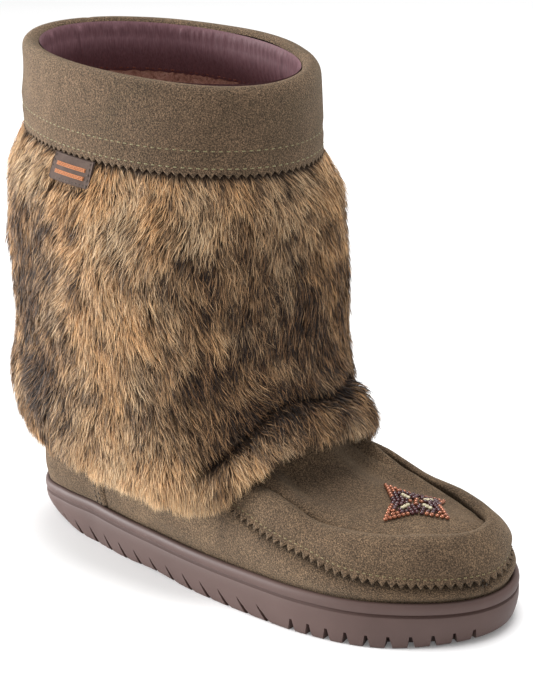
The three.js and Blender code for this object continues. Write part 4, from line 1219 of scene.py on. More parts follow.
@dataclass
class Vamp:
    """Suede vamp lapped over the toe, with a pinked lower edge, a stitch row and a plug crease."""

    wardrobe: Wardrobe
    gap: float = 0.5
    thickness: float = 1.6
    reach: float = math.radians(82.5)
    tooth_pitch: float = 4.1
    tooth_depth: float = 2.4
    points_per_tooth: int = 8
    rows: int = 62
    stitch_rise: float = 3.1
    crease_level: float = 7.05

    def edge(self) -> tuple[Array, Array]:
        """Turns along the lower edge at an even pitch, and the distance along it."""
        fine = np.linspace(-self.reach, self.reach, 1200)
        level = FORM.level_at(fine, FORM.vamp_edge_height(fine))
        line = FORM.skin(fine, level[:, None])[:, 0]
        travelled = travelled_along(line)
        count = round(travelled[-1] / self.tooth_pitch) * self.points_per_tooth + 1
        marks = np.linspace(0, travelled[-1], count)
        return np.interp(marks, travelled, fine), marks

    def relief(self, turn: Array, level: Array, points: Array) -> Array:
        """Crease of the plug, its small puckers, and soft dents.

        Args:
            turn: One turn for each column.
            level: Levels for each column.
            points: The undented points.

        Returns:
            Distance out at each point.
        """
        angle = turn[:, None]
        inner = smooth_step(np.sin(angle), -0.25, 0.35)
        toe = hump(angle, 0.55, -0.25)
        far = smooth_step(angle, 0.5, 0.95)
        middle = self.crease_level - 0.2 * toe - 0.45 * hump(angle, 0.24, 0.34) + 0.42 * far
        wide = 0.26 + 0.16 * inner + 0.16 * far
        crease = -(0.9 + 2.8 * inner + 2.2 * far) * hump(level, wide, middle)
        crease = crease - (1.3 - 0.8 * toe) * hump(level, 0.1, middle)
        # The inner roll is full up to its groove
        crease = crease + 1.2 * far * hump(level, 0.5, 6.4)
        pucker = 0.28 * np.sin(angle * 46 + 2 * np.sin(angle * 7)) * hump(level, 0.8, 7.3)
        gentle = 1.0 * uneven(points, (30, 30, 16), 15) + 0.45 * uneven(points, (10, 10, 8), 16)
        # A shallow dent over the little toe and a soft ridge across the toe break
        dent = -0.9 * np.exp(-((points[..., 0] - 62) / 16) ** 2 - ((points[..., 1] + 38) / 14) ** 2)
        ridge = 0.7 * np.exp(-((points[..., 0] - 118) / 12) ** 2 - ((points[..., 1] + 22) / 16) ** 2)
        ease = smooth_step(level, 2.6, 4.0)
        # The stitch row draws the vamp in above its lower edge
        above = points[..., 2] - FORM.vamp_edge_height(turn)[:, None]
        drawn = -1.1 * hump(above, 2.6, 3.2)
        # The cut edge stands off the band
        flare = 1.3 * hump(np.maximum(above, 0.0), 2.2)
        return crease + pucker + drawn + flare + toe_draw(turn, level) + (gentle + dent + ridge) * ease

    def build(self) -> None:
        """Builds the vamp and its stitches."""
        turn, travelled = self.edge()
        height = FORM.vamp_edge_height(turn) + tooth(travelled, self.tooth_pitch, self.tooth_depth) - 0.7
        bottom = FORM.level_at(turn, height)
        even = np.linspace(0, 1, self.rows)
        crease_share = (self.crease_level - bottom[:, None]) / (VAMP_TOP - bottom[:, None])
        # Rows crowd towards the crease
        near_crease = np.clip((even[None] - crease_share + 0.25) / 0.5, 0, 1)
        pulled = even[None] + 0.075 * np.sin(2 * math.pi * near_crease)
        level = bottom[:, None] + (VAMP_TOP - bottom)[:, None] * pulled
        bare = FORM.skin(turn, level)
        relief = self.relief(turn, level, bare)
        over = FORM.skin_offset(turn, level, self.gap + self.thickness + relief)
        rim = FORM.skin_offset(turn, level[:, :1], self.gap + toe_draw(turn, level[:, :1]))
        points = np.concatenate([rim, over], 1)
        rows = points.shape[1]
        quads = grid_quads(len(turn), rows, False)
        # The first row, the cut edge, takes the dark edge material: painted shade under the teeth
        cut = np.tile((np.arange(rows - 1) == 0).astype(int), len(turn) - 1)
        piece = build_mesh("vamp_suede", points, quads, [self.wardrobe.suede, self.wardrobe.cut_edge_painted_shade], cut)
        attach(piece, Slot.SUEDE, "vamp")
        line_level = FORM.level_at(turn, FORM.vamp_edge_height(turn) + self.stitch_rise)[:, None]
        relief = self.relief(turn, line_level, FORM.skin(turn, line_level))
        line = FORM.skin_offset(turn, line_level, self.gap + self.thickness + relief)[:, 0]
        normals = FORM.skin_normal(turn, line_level)[:, 0]
        stitches = StitchRow(pitch=2.9, length=1.9, radius=0.27).mesh(line, normals, False)
        sew("vamp_stitches", [stitches], self.wardrobe.olive, Slot.SUEDE)


@dataclass
class HeelCounter:
    """Suede piece round the back of the heel, with a dark double seam at each end."""

    wardrobe: Wardrobe
    thickness: float = 1.2
    reach: float = 69.0
    top: float = 46.0
    columns: int = 140
    rows: int = 16

    def build(self) -> None:
        """Builds the counter and its stitches."""
        end = math.acos(-self.reach / HALF_LENGTH)
        turn = np.linspace(end, 2 * math.pi - end, self.columns)
        bottom = FORM.level_at(turn, SOLE_HEIGHT + GAP)[:, None]
        top = FORM.level_at(turn, self.top)[:, None]
        level = bottom + (top - bottom) * np.linspace(0, 1, self.rows)[None]
        bare = FORM.skin(turn, level)
        relief = 0.8 * uneven(bare, (24, 24, 12), 25)
        rim = FORM.skin_offset(turn, level, 0.1)
        over = FORM.skin_offset(turn, level, GAP + self.thickness + relief)
        over[0], over[-1] = rim[0], rim[-1]
        points = np.concatenate([rim[:, :1], over, rim[:, -1:]], 1)
        quads = grid_quads(self.columns, points.shape[1], False)
        piece = build_mesh("heel_counter_suede", points, quads, [self.wardrobe.suede])
        attach(piece, Slot.SUEDE, "heel_counter")
        row = StitchRow(pitch=2.6, length=1.8, radius=0.3)
        rows = []
        for place in (1.9, 3.7):
            for side in (1, -1):
                at = side * (end + place / 62.0)
                low = FORM.level_at(np.array([at]), SOLE_HEIGHT + 1.2)[0]
                high = FORM.level_at(np.array([at]), self.top - 3)[0]
                rows.append(upright_row(at, np.linspace(low, high, 30), GAP + self.thickness + 0.1, row))
        sew("counter_stitches", rows, self.wardrobe.dark, Slot.SUEDE)


@dataclass
class Cuff:
    """Padded suede cuff with a pinked lower edge over the fur, and a gathered satin lining band."""

    wardrobe: Wardrobe
    thickness: float = 3.4
    rim_width: float = 9.0
    rim_height: float = 9.0
    tooth_pitch: float = 3.9
    tooth_depth: float = 2.1
    points_per_tooth: int = 8
    lining_columns: int = 560
    satin_low: float = 220.5

    @property
    def shoulder(self) -> float:
        """Height at which the skirt meets the roll."""
        return COLLAR_HEIGHT - self.rim_height

    def skirt(self, level: Array | float) -> Array:
        """Distance of the plain skirt from the shaft at a height."""
        return GAP + self.thickness - 0.7 + 0.9 * smooth_step(level, CUFF_LEVEL, self.shoulder)

    def roll(self, share: Array) -> tuple[Array, Array]:
        """Outline of the padded roll.

        Args:
            share: 0 at the outside under the roll, 1 at the lower inside.

        Returns:
            Distance out from the shaft and level.
        """
        outer = GAP + self.thickness
        inner = outer - self.rim_width
        middle = (outer + inner) / 2
        angle = share * math.pi
        wide = self.rim_width / 2
        out = middle + wide * np.sign(np.cos(angle)) * np.abs(np.cos(angle)) ** 0.8
        level = self.shoulder + self.rim_height * np.abs(np.sin(angle)) ** 0.62
        return out, level

    def swell(self, turn: Array, points: Array) -> Array:
        """Distance out of the uneven padding of the roll and the skirt, by turn and point."""
        soft = 1.3 * uneven(points, (34, 34, 22), 35) + 0.5 * uneven(points, (12, 12, 9), 36)
        # The joint of the suede at the back of the rim
        joint = hump(degrees_from(turn, 163), 1.6)[:, None]
        high = smooth_step(points[..., 2], 214, 236)
        square = 2.4 * hump(degrees_from(turn, 80), 24)[:, None]
        return soft + square * high - 1.1 * joint * smooth_step(points[..., 2], 226, 240)

    def columns(self) -> tuple[Array, Array]:
        """Turns round the lower edge at an even pitch, and the distance along it."""
        fine = np.linspace(0, 2 * math.pi, 2400)
        line = FORM.shaft(fine, CUFF_LEVEL, self.thickness)
        travelled = travelled_along(line)
        count = round(travelled[-1] / self.tooth_pitch)
        self.tooth_pitch = travelled[-1] / count
        marks = np.arange(count * self.points_per_tooth) * self.tooth_pitch / self.points_per_tooth
        return np.interp(marks, travelled, fine), marks

    def suede(self) -> None:
        """The suede from the pinked edge up over the roll."""
        turn, travelled = self.columns()
        bottom = CUFF_LEVEL - 1.6 + tooth(travelled, self.tooth_pitch, self.tooth_depth)
        rise = np.linspace(0, 1, 16)[:-1] ** 1.2
        skirt_level = bottom[:, None] + (self.shoulder - bottom)[:, None] * rise[None]
        skirt_out = self.skirt(skirt_level)
        # The skirt is drawn in along its stitch rows
        for rise_to, depth in STITCH_DIPS:
            skirt_out = skirt_out - depth * hump(skirt_level - CUFF_LEVEL, 2.2, rise_to)
        out, level = self.roll(np.linspace(0.0, 0.8, 18))
        roll_level = np.broadcast_to(level, (len(turn), len(level)))
        roll_out = np.broadcast_to(out + 0.2, (len(turn), len(out)))
        levels = np.concatenate([skirt_level[:, :1], skirt_level, roll_level], 1)
        outs = np.concatenate([np.full((len(turn), 1), GAP + self.thickness - 2.6), skirt_out, roll_out], 1)
        bare = FORM.shaft(turn[:, None], levels, outs)
        swell = self.swell(turn, bare) * smooth_step(levels, CUFF_LEVEL + 2, CUFF_LEVEL + 14)
        inside = smooth_step(np.arange(levels.shape[1]), 24, 30)[None]
        sag = 2.2 * hump(np.degrees(ease_angle(turn + 0.4)), 38)[:, None]
        sag = sag * smooth_step(levels, self.shoulder - 12, self.shoulder + 6)
        points = FORM.shaft(turn[:, None], levels - sag + swell * inside * 0.5, outs + swell * (1 - inside))
        quads = grid_quads(len(turn), points.shape[1], True)
        # The first row, the cut edge, takes the dark edge material: painted shade under the teeth
        cut = np.tile((np.arange(points.shape[1] - 1) == 0).astype(int), len(turn))
        piece = build_mesh("cuff_suede", points, quads,
                           [self.wardrobe.cuff_suede, self.wardrobe.cut_edge_painted_shade], cut)
        attach(piece, Slot.SUEDE, "cuff")

    def gathers(self, turn: Array, share: Array) -> Array:
        """Upright folds of the satin, deepest at its seams.

        Args:
            turn: One turn for each column.
            share: 0 at the top of the band, 1 at its seam.

        Returns:
            Distance inwards at each point.
        """
        angle = turn[:, None]
        uneven = 0.55 + 0.45 * np.sin(3 * angle + 0.7) * np.sin(5 * angle + 2.1)
        folds = np.sin(58 * angle + 2.2 * np.sin(6 * angle) + 0.8 * share) * uneven
        small = np.sin(131 * angle + 1.7 * np.sin(9 * angle) - share) * (1 - uneven) * 0.6
        # Deep folds at the rear of the band
        deep = sum(
            depth * hump(degrees_from(turn, at)[:, None], wide)
            for at, depth, wide in ((171, -1.9, 1.5), (150, -1.3, 1.3), (118, -1.0, 1.2), (64, -0.9, 1.3),
                                    (40, -1.2, 1.2), (196, -1.4, 1.6), (20, -1.1, 1.4))
        )
        pinch = 0.35 + 0.65 * np.abs(np.cos(math.pi * share)) ** 1.5
        return (0.34 * folds + small) * pinch + deep * (0.5 + 0.5 * np.sin(math.pi * share))

    def lining(self) -> None:
        """The padded satin band inside the collar."""
        turn = full_turn(self.lining_columns)
        out, level = self.roll(np.linspace(0.76, 1.0, 9))
        count = 20
        share = np.linspace(0, 1, count)
        inner = out[-1]
        wall_in = -WALL - GAP
        bulge = 1.5 * np.sin(math.pi * share ** 0.8)
        band_out = inner + (wall_in - 0.6 - inner) * share ** 0.7 - bulge
        band_level = level[-1] + (self.satin_low - level[-1]) * share
        outs = np.concatenate([out[:-1], band_out, [wall_in + 0.8]])
        levels = np.concatenate([level[:-1], band_level, [self.satin_low - 1.5]])
        whole = np.clip((COLLAR_HEIGHT - levels) / (COLLAR_HEIGHT - self.satin_low), 0, 1)[None]
        fold = self.gathers(turn, whole) * smooth_step(np.arange(len(outs)), 1, 6)[None]
        points = FORM.shaft(turn[:, None], levels[None], outs[None] - 0.3 + fold * 0.8)
        quads = grid_quads(self.lining_columns, len(outs), True)
        piece = build_mesh("lining_band_satin", points, quads, [self.wardrobe.satin])
        attach(piece, Slot.FLEECE)

    def stitches(self) -> None:
        """Two rows on the skirt and one at the foot of the lining."""
        turn = np.linspace(0, 2 * math.pi, 1600, endpoint=False)
        parts = []
        for rise, depth in STITCH_DIPS:
            level = CUFF_LEVEL + rise
            out = float(self.skirt(level))
            bare = FORM.shaft(turn, level, out - depth)
            swell = self.swell(turn, bare[:, None])[:, 0] * float(smooth_step(rise, 2, 14))
            line = FORM.shaft(turn, level, out - depth + swell)
            outward = unit(FORM.shaft(turn, level, 10.0) - FORM.shaft(turn, level, 0.0))
            parts.append(StitchRow(pitch=3.4, length=2.1, radius=0.27).mesh(line, outward, True))
        sew("cuff_stitches", parts, self.wardrobe.straw, Slot.SUEDE)
        level = self.satin_low + 0.6
        line = FORM.shaft(turn, level, -WALL - GAP - 0.9)
        inward = -unit(FORM.shaft(turn, level, 10.0) - FORM.shaft(turn, level, 0.0))
        seam = StitchRow(pitch=3.3, length=2.2, radius=0.4).mesh(line, inward, True)
        sew("lining_stitches", [seam], self.wardrobe.russet, Slot.FLEECE)

    def build(self) -> None:
        """Builds the whole cuff."""
        self.suede()
        self.lining()
        self.stitches()


@dataclass(frozen=True)
class FurField:
    """How the rabbit fur grows: its lay, its locks and its colours over the sleeve."""

    around: float = 66.0
    travel: float = CUFF_LEVEL - HEM_HEIGHT
    lock_size: float = 6.0
    light_at: float = math.radians(-74)

    def crease_down(self, turn: Array) -> Array:
        """Share of the way down at which the fold above the front skirt lies."""
        degrees = np.abs(degrees_from(turn))
        return np.interp(degrees, (0, 14, 28, 40, 52), (0.835, 0.795, 0.80, 0.835, 0.88))

    def hem_down(self, turn: Array) -> Array:
        """Share of the way down at which the tips of the hair end."""
        degrees = degrees_from(turn)
        places = (-50, -41, -36, -29, -14, 2, 20, 45, 62)
        return np.interp(degrees, places, (1.0, 0.98, 0.95, 0.93, 0.93, 0.95, 0.975, 0.98, 1.0))

    def fold(self, turn: Array, down: Array) -> Array:
        """Depth of the fold above the front skirt, from 0 to 1."""
        degrees = np.abs(degrees_from(turn))
        side = 1 - smooth_step(degrees, 40, 54)
        away = down - self.crease_down(turn)
        return side * hump(away, np.where(away < 0, 0.040, 0.020))

    def lean(self, turn: Array, down: Array, points: Array) -> Array:
        """Sideways lean of the hair towards rising turns, as a slope."""
        parting = ease_angle(turn - self.light_at)
        diverge = 0.42 * np.tanh(parting / 0.35) * hump(parting, 0.9) * smooth_step(down, 0.05, 0.5)
        drift = uneven(points, (30, 30, 34), 41) + 0.9 * uneven(points, (11, 11, 15), 42)
        front = -0.35 * hump(ease_angle(turn + 0.35), 0.5) * smooth_step(down, 0.7, 0.95)
        return diverge + drift + front

    def lightness(self, turn: Array, down: Array, points: Array) -> Array:
        """How pale the fur is over the sleeve, from 0 to 1, with painted shade in the fold above the front
        skirt.
        """
        near = ease_angle(turn - self.light_at)
        panel = 0.55 * hump(near + 0.1 * (down - 0.3), 0.30)
        panel = panel * (1 - 0.3 * smooth_step(down, 0.65, 0.85))
        corner = 0.40 * smooth_step(down, 0.74, 0.95) * hump(ease_angle(turn + 0.95), 0.55)
        rear = 0.15 * hump(ease_angle(turn - math.radians(165)), 0.7)
        top = 0.40 * (1 - smooth_step(down, 0.04, 0.24))
        # Dark patches: edge by the heel, front below the middle, above the fold
        dark = sum(
            depth * np.exp(-(ease_angle(turn - math.radians(at)) / wide) ** 2 - ((down - low) / tall) ** 2)
            for at, low, depth, wide, tall in (
                (-118, 0.38, 0.45, 0.24, 0.22), (-112, 0.72, 0.40, 0.20, 0.12), (-38, 0.50, 0.20, 0.36, 0.20),
                (-10, 0.55, 0.25, 0.45, 0.26), (-14, 0.76, 0.40, 0.50, 0.09), (-62, 0.50, 0.14, 0.10, 0.10),
                (-26, 0.93, 0.40, 0.26, 0.035))
        )
        patches = 0.66 * uneven(points, (15, 15, 18), 43) + 0.85 * uneven(points, (5, 5, 7), 44)
        # Darker in the fold above the front skirt: painted shade of the crease
        whole = 0.39 + panel + corner + rear + top - dark + patches - 0.8 * self.fold(turn, down)
        return np.clip(whole, 0.0, 1.0)

    def lock_pull(self, turn: Array, down: Array) -> tuple[Array, Array, Array]:
        """Where the nearest lock's middle lies.

        Args:
            turn: Turns of the hair roots.
            down: Shares of the way down.

        Returns:
            Distance to it around and down in millimetres, and the lock's own random number.
        """
        wide, tall = self.lock_size, self.lock_size * 1.5
        cells_around = round(2 * math.pi * self.around / wide)
        u = (turn % (2 * math.pi)) * cells_around / (2 * math.pi)
        v = down * self.travel / tall
        best = np.full(turn.shape, 1e9)
        pull_u, pull_v, token = (np.zeros(turn.shape) for _ in range(3))
        cell_u, cell_v = np.floor(u).astype(np.int64), np.floor(v).astype(np.int64)
        for du in (-1, 0, 1):
            for dv in (-1, 0, 1):
                iu, iv = cell_u + du, cell_v + dv
                wrapped = iu % cells_around
                zero = np.zeros_like(iu)
                cu = iu + 0.15 + 0.7 * lattice_value(wrapped, iv, zero, 51)
                cv = iv + 0.15 + 0.7 * lattice_value(wrapped, iv, zero, 52)
                distance = ((cu - u) * wide) ** 2 + ((cv - v) * tall * 0.6) ** 2
                closer = distance < best
                best = np.where(closer, distance, best)
                pull_u = np.where(closer, (cu - u) * wide, pull_u)
                pull_v = np.where(closer, (cv - v) * tall, pull_v)
                token = np.where(closer, lattice_value(wrapped, iv, zero, 53), token)
        return pull_u, pull_v, token


class Coat(Enum):
    """The layers of hair: mean length, rise from the hide, half width and droop of a hair."""

    WOOL = (5.5, 0.42, 0.21, 0.0)
    GUARD = (8.0, 0.46, 0.155, 0.0)
    HEM = (8.0, 0.34, 0.155, 0.2)

    def __init__(self, length: float, rise: float, half_width: float, droop: float) -> None:
        """Keeps the measures under their names."""
        self.length, self.rise, self.half_width, self.droop = length, rise, half_width, droop


@dataclass
class FurSleeve:
    """Rabbit fur sleeve: an undercoat surface and layers of separate hairs in locks."""

    wardrobe: Wardrobe
    field_of: FurField = field(default_factory=FurField)
    columns: int = 260
    rows: int = 84
    guard_count: int = 64000
    wool_count: int = 44000
    hem_count: int = 24000

    def relief(self, turn: Array, down: Array, points: Array) -> Array:
        """Height of the undercoat's locks and of the fold above the skirt."""
        locks = 1.6 * uneven(points, (8, 8, 13), 45) + 1.8 * uneven(points, (20, 20, 30), 46)
        # The sleeve stands out low on the heel side
        out = np.exp(-(ease_angle(turn - math.radians(-138)) / 0.5) ** 2 - ((down - 0.84) / 0.16) ** 2)
        locks = locks + 3.6 * out
        return locks - 4.6 * self.field_of.fold(turn, down)

    def surface(self, turn: Array, down: Array, raised: Array | float = 0.0) -> Array:
        """Points of the undercoat with its relief, raised by a distance."""
        bare = FORM.fur(turn, down, 0.0)
        return FORM.fur(turn, down, self.relief(turn, down, bare) - 1.6 + raised)

    def undercoat(self) -> None:
        """The closed undercoat surface."""
        turn = full_turn(self.columns)
        down = np.linspace(0, 1, self.rows)
        low = self.field_of.hem_down(turn)[:, None] - 1.5 / self.field_of.travel
        outer = self.surface(turn[:, None], down[None] * low)
        hem = FORM.fur(turn, low[:, 0], 0.0)
        tucked = FORM.fur(turn[:, None], low, np.array([[-2.6, -5.0, -7.5]]))
        tucked[..., 2] += np.array([[-1.2, 0.2, 2.5]])
        near = FORM.shaft(turn, CUFF_LEVEL - GAP, 0.4)[:, None]
        points = np.concatenate([near, outer, tucked], 1)
        LOG.info("hem from %.1f to %.1f mm", hem[:, 2].min(), hem[:, 2].max())
        quads = grid_quads(self.columns, points.shape[1], True)
        piece = build_mesh("fur_undercoat", points, quads, [self.wardrobe.undercoat])
        attach(piece, Slot.FUR, "fur_sleeve")

    def roots(self, coat: Coat, count: int, rng: np.random.Generator, half: int) -> tuple[Array, Array]:
        """Turns and shares down of random roots, on the outer half (-1), the inner (1) or both."""
        start = {0: -math.pi, -1: -math.pi, 1: 0.0}[half]
        turn = start + (2 * math.pi if half == 0 else math.pi) * rng.random(count)
        down = 1.0 - 0.1 * rng.random(count) if coat is Coat.HEM else rng.random(count) ** 0.97
        low = self.field_of.hem_down(turn) - 2.6 / self.field_of.travel
        return turn, np.clip(down, 0.004, 1.0) * low

    def under_tab(self, turn: Array, down: Array) -> Array:
        """How far the side tab presses the hair down, from 0 to 1."""
        across = np.abs(ease_angle(turn - TAB_TURN)) * SHAFT_LENGTH / (2 * TAB_WIDTH)
        share = TAB_HEIGHT / (CUFF_LEVEL - HEM_HEIGHT)
        return (1 - smooth_step(across, 0.46, 0.56)) * (1 - smooth_step(down, share, share + 0.02))

    def hairs(self, name: str, coat: Coat, count: int, seed: int, half: int = 0) -> None:
        """One layer of hair as flat tapering blades.

        Args:
            name: The piece's name.
            coat: The layer.
            count: How many hairs.
            seed: Seed of its random numbers.
            half: Which side of the sleeve, or 0 for both.
        """
        rng = np.random.default_rng(seed)
        turn, down = self.roots(coat, count, rng, half)
        field_of = self.field_of
        base = self.surface(turn, down)
        step = 0.012
        lower = self.surface(turn, np.minimum(down + step, 1.0))
        upper = self.surface(turn, np.maximum(down - step, 0.0))
        fall = unit(lower - upper)
        around = unit(FORM.fur(turn + 0.01, down, 0.0) - FORM.fur(turn - 0.01, down, 0.0))
        normal = unit(np.cross(fall, around))
        normal *= np.sign(np.sum(normal * np.stack([np.cos(turn), np.sin(turn), 0 * turn], -1), -1))[:, None]
        bare = FORM.fur(turn, down, 0.0)
        pull_u, pull_v, token = field_of.lock_pull(turn, down)
        lean = field_of.lean(turn, down, bare) + 0.35 * (token - 0.5)
        lightness = field_of.lightness(turn, down, bare)
        fold = field_of.fold(turn, down)
        length = coat.length * (0.65 + 0.7 * rng.random(count)) * (1 - 0.5 * fold)
        # Hair near the hem ends close to it
        tuft = 4.5 * (token - 0.45)
        room = (field_of.hem_down(turn) - down) * field_of.travel + 2.4 * rng.random(count) + tuft
        length = np.clip(length, 1.5, np.maximum(room, 1.5))
        lift = coat.rise * (0.7 + 0.6 * rng.random(count))
        lift *= 1 - 0.5 * (down < 0.05)
        pressed = self.under_tab(turn, down)
        lift *= 1 - 0.9 * pressed
        length *= 1 - 0.5 * pressed
        # Hair leaves the hide at a slope and bends down along the coat
        wander = rng.normal(0, 0.24, count)
        heading = unit(fall + around * (lean + wander)[:, None])
        centre = []
        for along, high, pull in ((0.0, 0.0, 0.0), (0.5, 0.62, 0.16), (1.0, 0.8, 0.42)):
            point = base + heading * (length * along)[:, None] + normal * (length * lift * high)[:, None]
            point = point + around * (pull_u * pull)[:, None] + fall * (pull_v * pull * 0.2)[:, None]
            point[:, 2] -= length * along * along * coat.droop
            centre.append(point)
        twist = rng.normal(0, 0.55, count)
        blade = around * np.cos(twist)[:, None] + normal * np.sin(twist)[:, None]
        wide = coat.half_width * (0.75 + 0.5 * rng.random(count))
        verts = [centre[at] + blade * (sign * wide * share)[:, None]
                 for at, share in ((0, 0.8), (1, 1.0)) for sign in (-1, 1)]
        points = np.stack([*verts, centre[2]], 1)
        start = np.arange(count)[:, None] * 5
        quads = start + np.array([0, 1, 3, 2])
        triangles = start + np.array([2, 3, 4])
        colours = self.colours(coat, lightness, token, fold, cloud(bare, (15, 15, 22), 47), rng)
        piece = build_mesh(name, points, quads, [self.wardrobe.hair], triangles=triangles, colours=colours,
                           smooth=False)
        attach(piece, Slot.FUR)

    def colours(
        self, coat: Coat, lightness: Array, token: Array, fold: Array, warmth: Array, rng: np.random.Generator
    ) -> Array:
        """Banded colour of each hair.

        Args:
            coat: The layer.
            lightness: How pale the coat is at each root.
            token: Random number of each hair's lock.
            fold: Depth of the fold at each root, by which the hairs there are darkened as painted shade.
            warmth: How golden the coat is at each root.
            rng: Random numbers.

        Returns:
            Five colours for each hair.
        """
        count = len(lightness)
        tone = np.clip(lightness + 0.26 * (token - 0.5) + rng.normal(0, 0.15, count), 0, 1)[:, None]
        golden = np.clip(0.5 + 0.9 * (warmth - 0.5) + rng.normal(0, 0.2, count), 0, 1)[:, None]

        def mix(low: str, cool: str, warm: str) -> Array:
            pale = np.array(linear(cool)[:3]) * (1 - golden) + np.array(linear(warm)[:3]) * golden
            return np.array(linear(low)[:3]) * (1 - tone) + pale * tone

        root = mix("#1c1617", "#4e433c", "#544436")
        middle = mix("#2f231c", "#8a7158", "#946f4b")
        band = mix("#684b33", "#c3a784", "#cb9a68")
        pale = mix("#946c48", "#dec8a6", "#e3b884")
        dark = mix("#1a1311", "#4e4035", "#4f3827")
        black_tip = (rng.random(count) < 0.66 - 0.58 * tone[:, 0])[:, None]
        tip = np.where(black_tip, dark, pale)
        shoulder = np.where(black_tip, middle * 0.8, band)
        if coat is Coat.WOOL:
            shoulder, tip = middle * 0.8, middle
        # Random brightness of each hair, darkened in the fold as painted shade
        bright = (0.78 + 0.44 * rng.random(count))[:, None] * (1 - 0.6 * fold[:, None])
        solid = np.stack([np.clip(row * bright, 0, 1) for row in (root, root, shoulder, shoulder, tip)], 1)
        return np.concatenate([solid, np.ones((count, 5, 1))], -1)

    def build(self) -> None:
        """Builds the undercoat and all layers of hair."""
        self.undercoat()
        self.hairs("fur_wool", Coat.WOOL, self.wool_count, 61)
        self.hairs("fur_guard_outer", Coat.GUARD, self.guard_count, 62, -1)
        self.hairs("fur_guard_inner", Coat.GUARD, self.guard_count, 63, 1)
        self.hairs("fur_hem_hair", Coat.HEM, self.hem_count, 64)


@dataclass
class SideLabel:
    """Blank leather tab sewn under the cuff's edge, with a plain stitched border and two bars."""

    wardrobe: Wardrobe
    width: float = TAB_WIDTH
    height: float = TAB_HEIGHT
    thickness: float = 1.3
    middle: float = TAB_TURN

    def place(self, across: Array, down: Array, raised: float) -> Array:
        """Points of the tab: across from -0.5 at the heel end to 0.5, down to 1 at the free edge."""
        turn = self.middle + across * 2 * self.width / SHAFT_LENGTH
        share = 0.004 + down * self.height / (CUFF_LEVEL - HEM_HEIGHT)
        return FORM.fur(turn, share, raised + 0.9 * down - 0.4)

    def build(self) -> None:
        """Builds the tab and its threads."""
        across, down = np.meshgrid(np.linspace(-0.5, 0.5, 31), np.linspace(0, 1, 17), indexing="ij")
        corner = np.maximum(0, (np.abs(across) - 0.44) / 0.06) ** 2 * 0.06
        drop = down * (1 - corner)
        bow = 0.5 * (cloud(np.stack([across * 30, down * 15, 0 * across], -1), 12.0, 71) - 0.5)
        under = self.place(across, drop, 0.0)
        over = self.place(across, drop, self.thickness)
        over = over + unit(over - under) * bow[..., None]
        columns, rows = over.shape[:2]
        points = np.concatenate([over.reshape(-1, 3), under.reshape(-1, 3)])
        quads = [grid_quads(columns, rows, False), grid_quads(columns, rows, False, columns * rows)[:, ::-1]]
        ring = [column * rows for column in range(columns)]
        ring += [(columns - 1) * rows + row for row in range(1, rows)]
        ring += [column * rows + rows - 1 for column in range(columns - 2, -1, -1)]
        ring += [row for row in range(rows - 2, 0, -1)]
        edge = np.array(ring)
        after = np.roll(edge, -1)
        shift = columns * rows
        quads.append(np.stack([edge, after, after + shift, edge + shift], -1))
        tab = build_mesh("label_tab_leather", points, np.concatenate(quads), [self.wardrobe.leather])
        attach(tab, Slot.LABEL, "side_label")
        parts = []
        outline = [(-0.45, 0.1), (-0.45, 0.9), (0.45, 0.9), (0.45, 0.1)]
        for start, end in zip(outline[:-1], outline[1:]):
            share = np.linspace(0, 1, 40)
            a = start[0] + (end[0] - start[0]) * share
            d = start[1] + (end[1] - start[1]) * share
            line = self.place(a, d, self.thickness + 0.15)
            parts.append(StitchRow(pitch=2.0, length=1.3, radius=0.17).mesh(line, self.normals(a, d), False))
        sew("label_border_stitches", parts, self.wardrobe.dark, Slot.LABEL)
        bars = []
        for down_at in (0.36, 0.66):
            for offset in (-0.05, 0.0, 0.05):
                a = np.linspace(-0.34, 0.34, 60)
                d = np.full(60, down_at + offset)
                line = self.place(a, d, self.thickness + 0.1)
                row = StitchRow(pitch=1.0, length=1.6, radius=0.3)
                bars.append(row.mesh(line, self.normals(a, d), False))
        sew("label_bars_thread", bars, self.wardrobe.orange, Slot.LABEL)

    def normals(self, across: Array, down: Array) -> Array:
        """Directions out of the tab at places on it."""
        return unit(self.place(across, down, 3.0) - self.place(across, down, 0.0))


class Bead(IntEnum):
    """Colours of the beads; those in the star's heart are copper but are laid first."""

    COPPER = 0
    PLUM = 1
    CREAM = 2
    HEART = 3


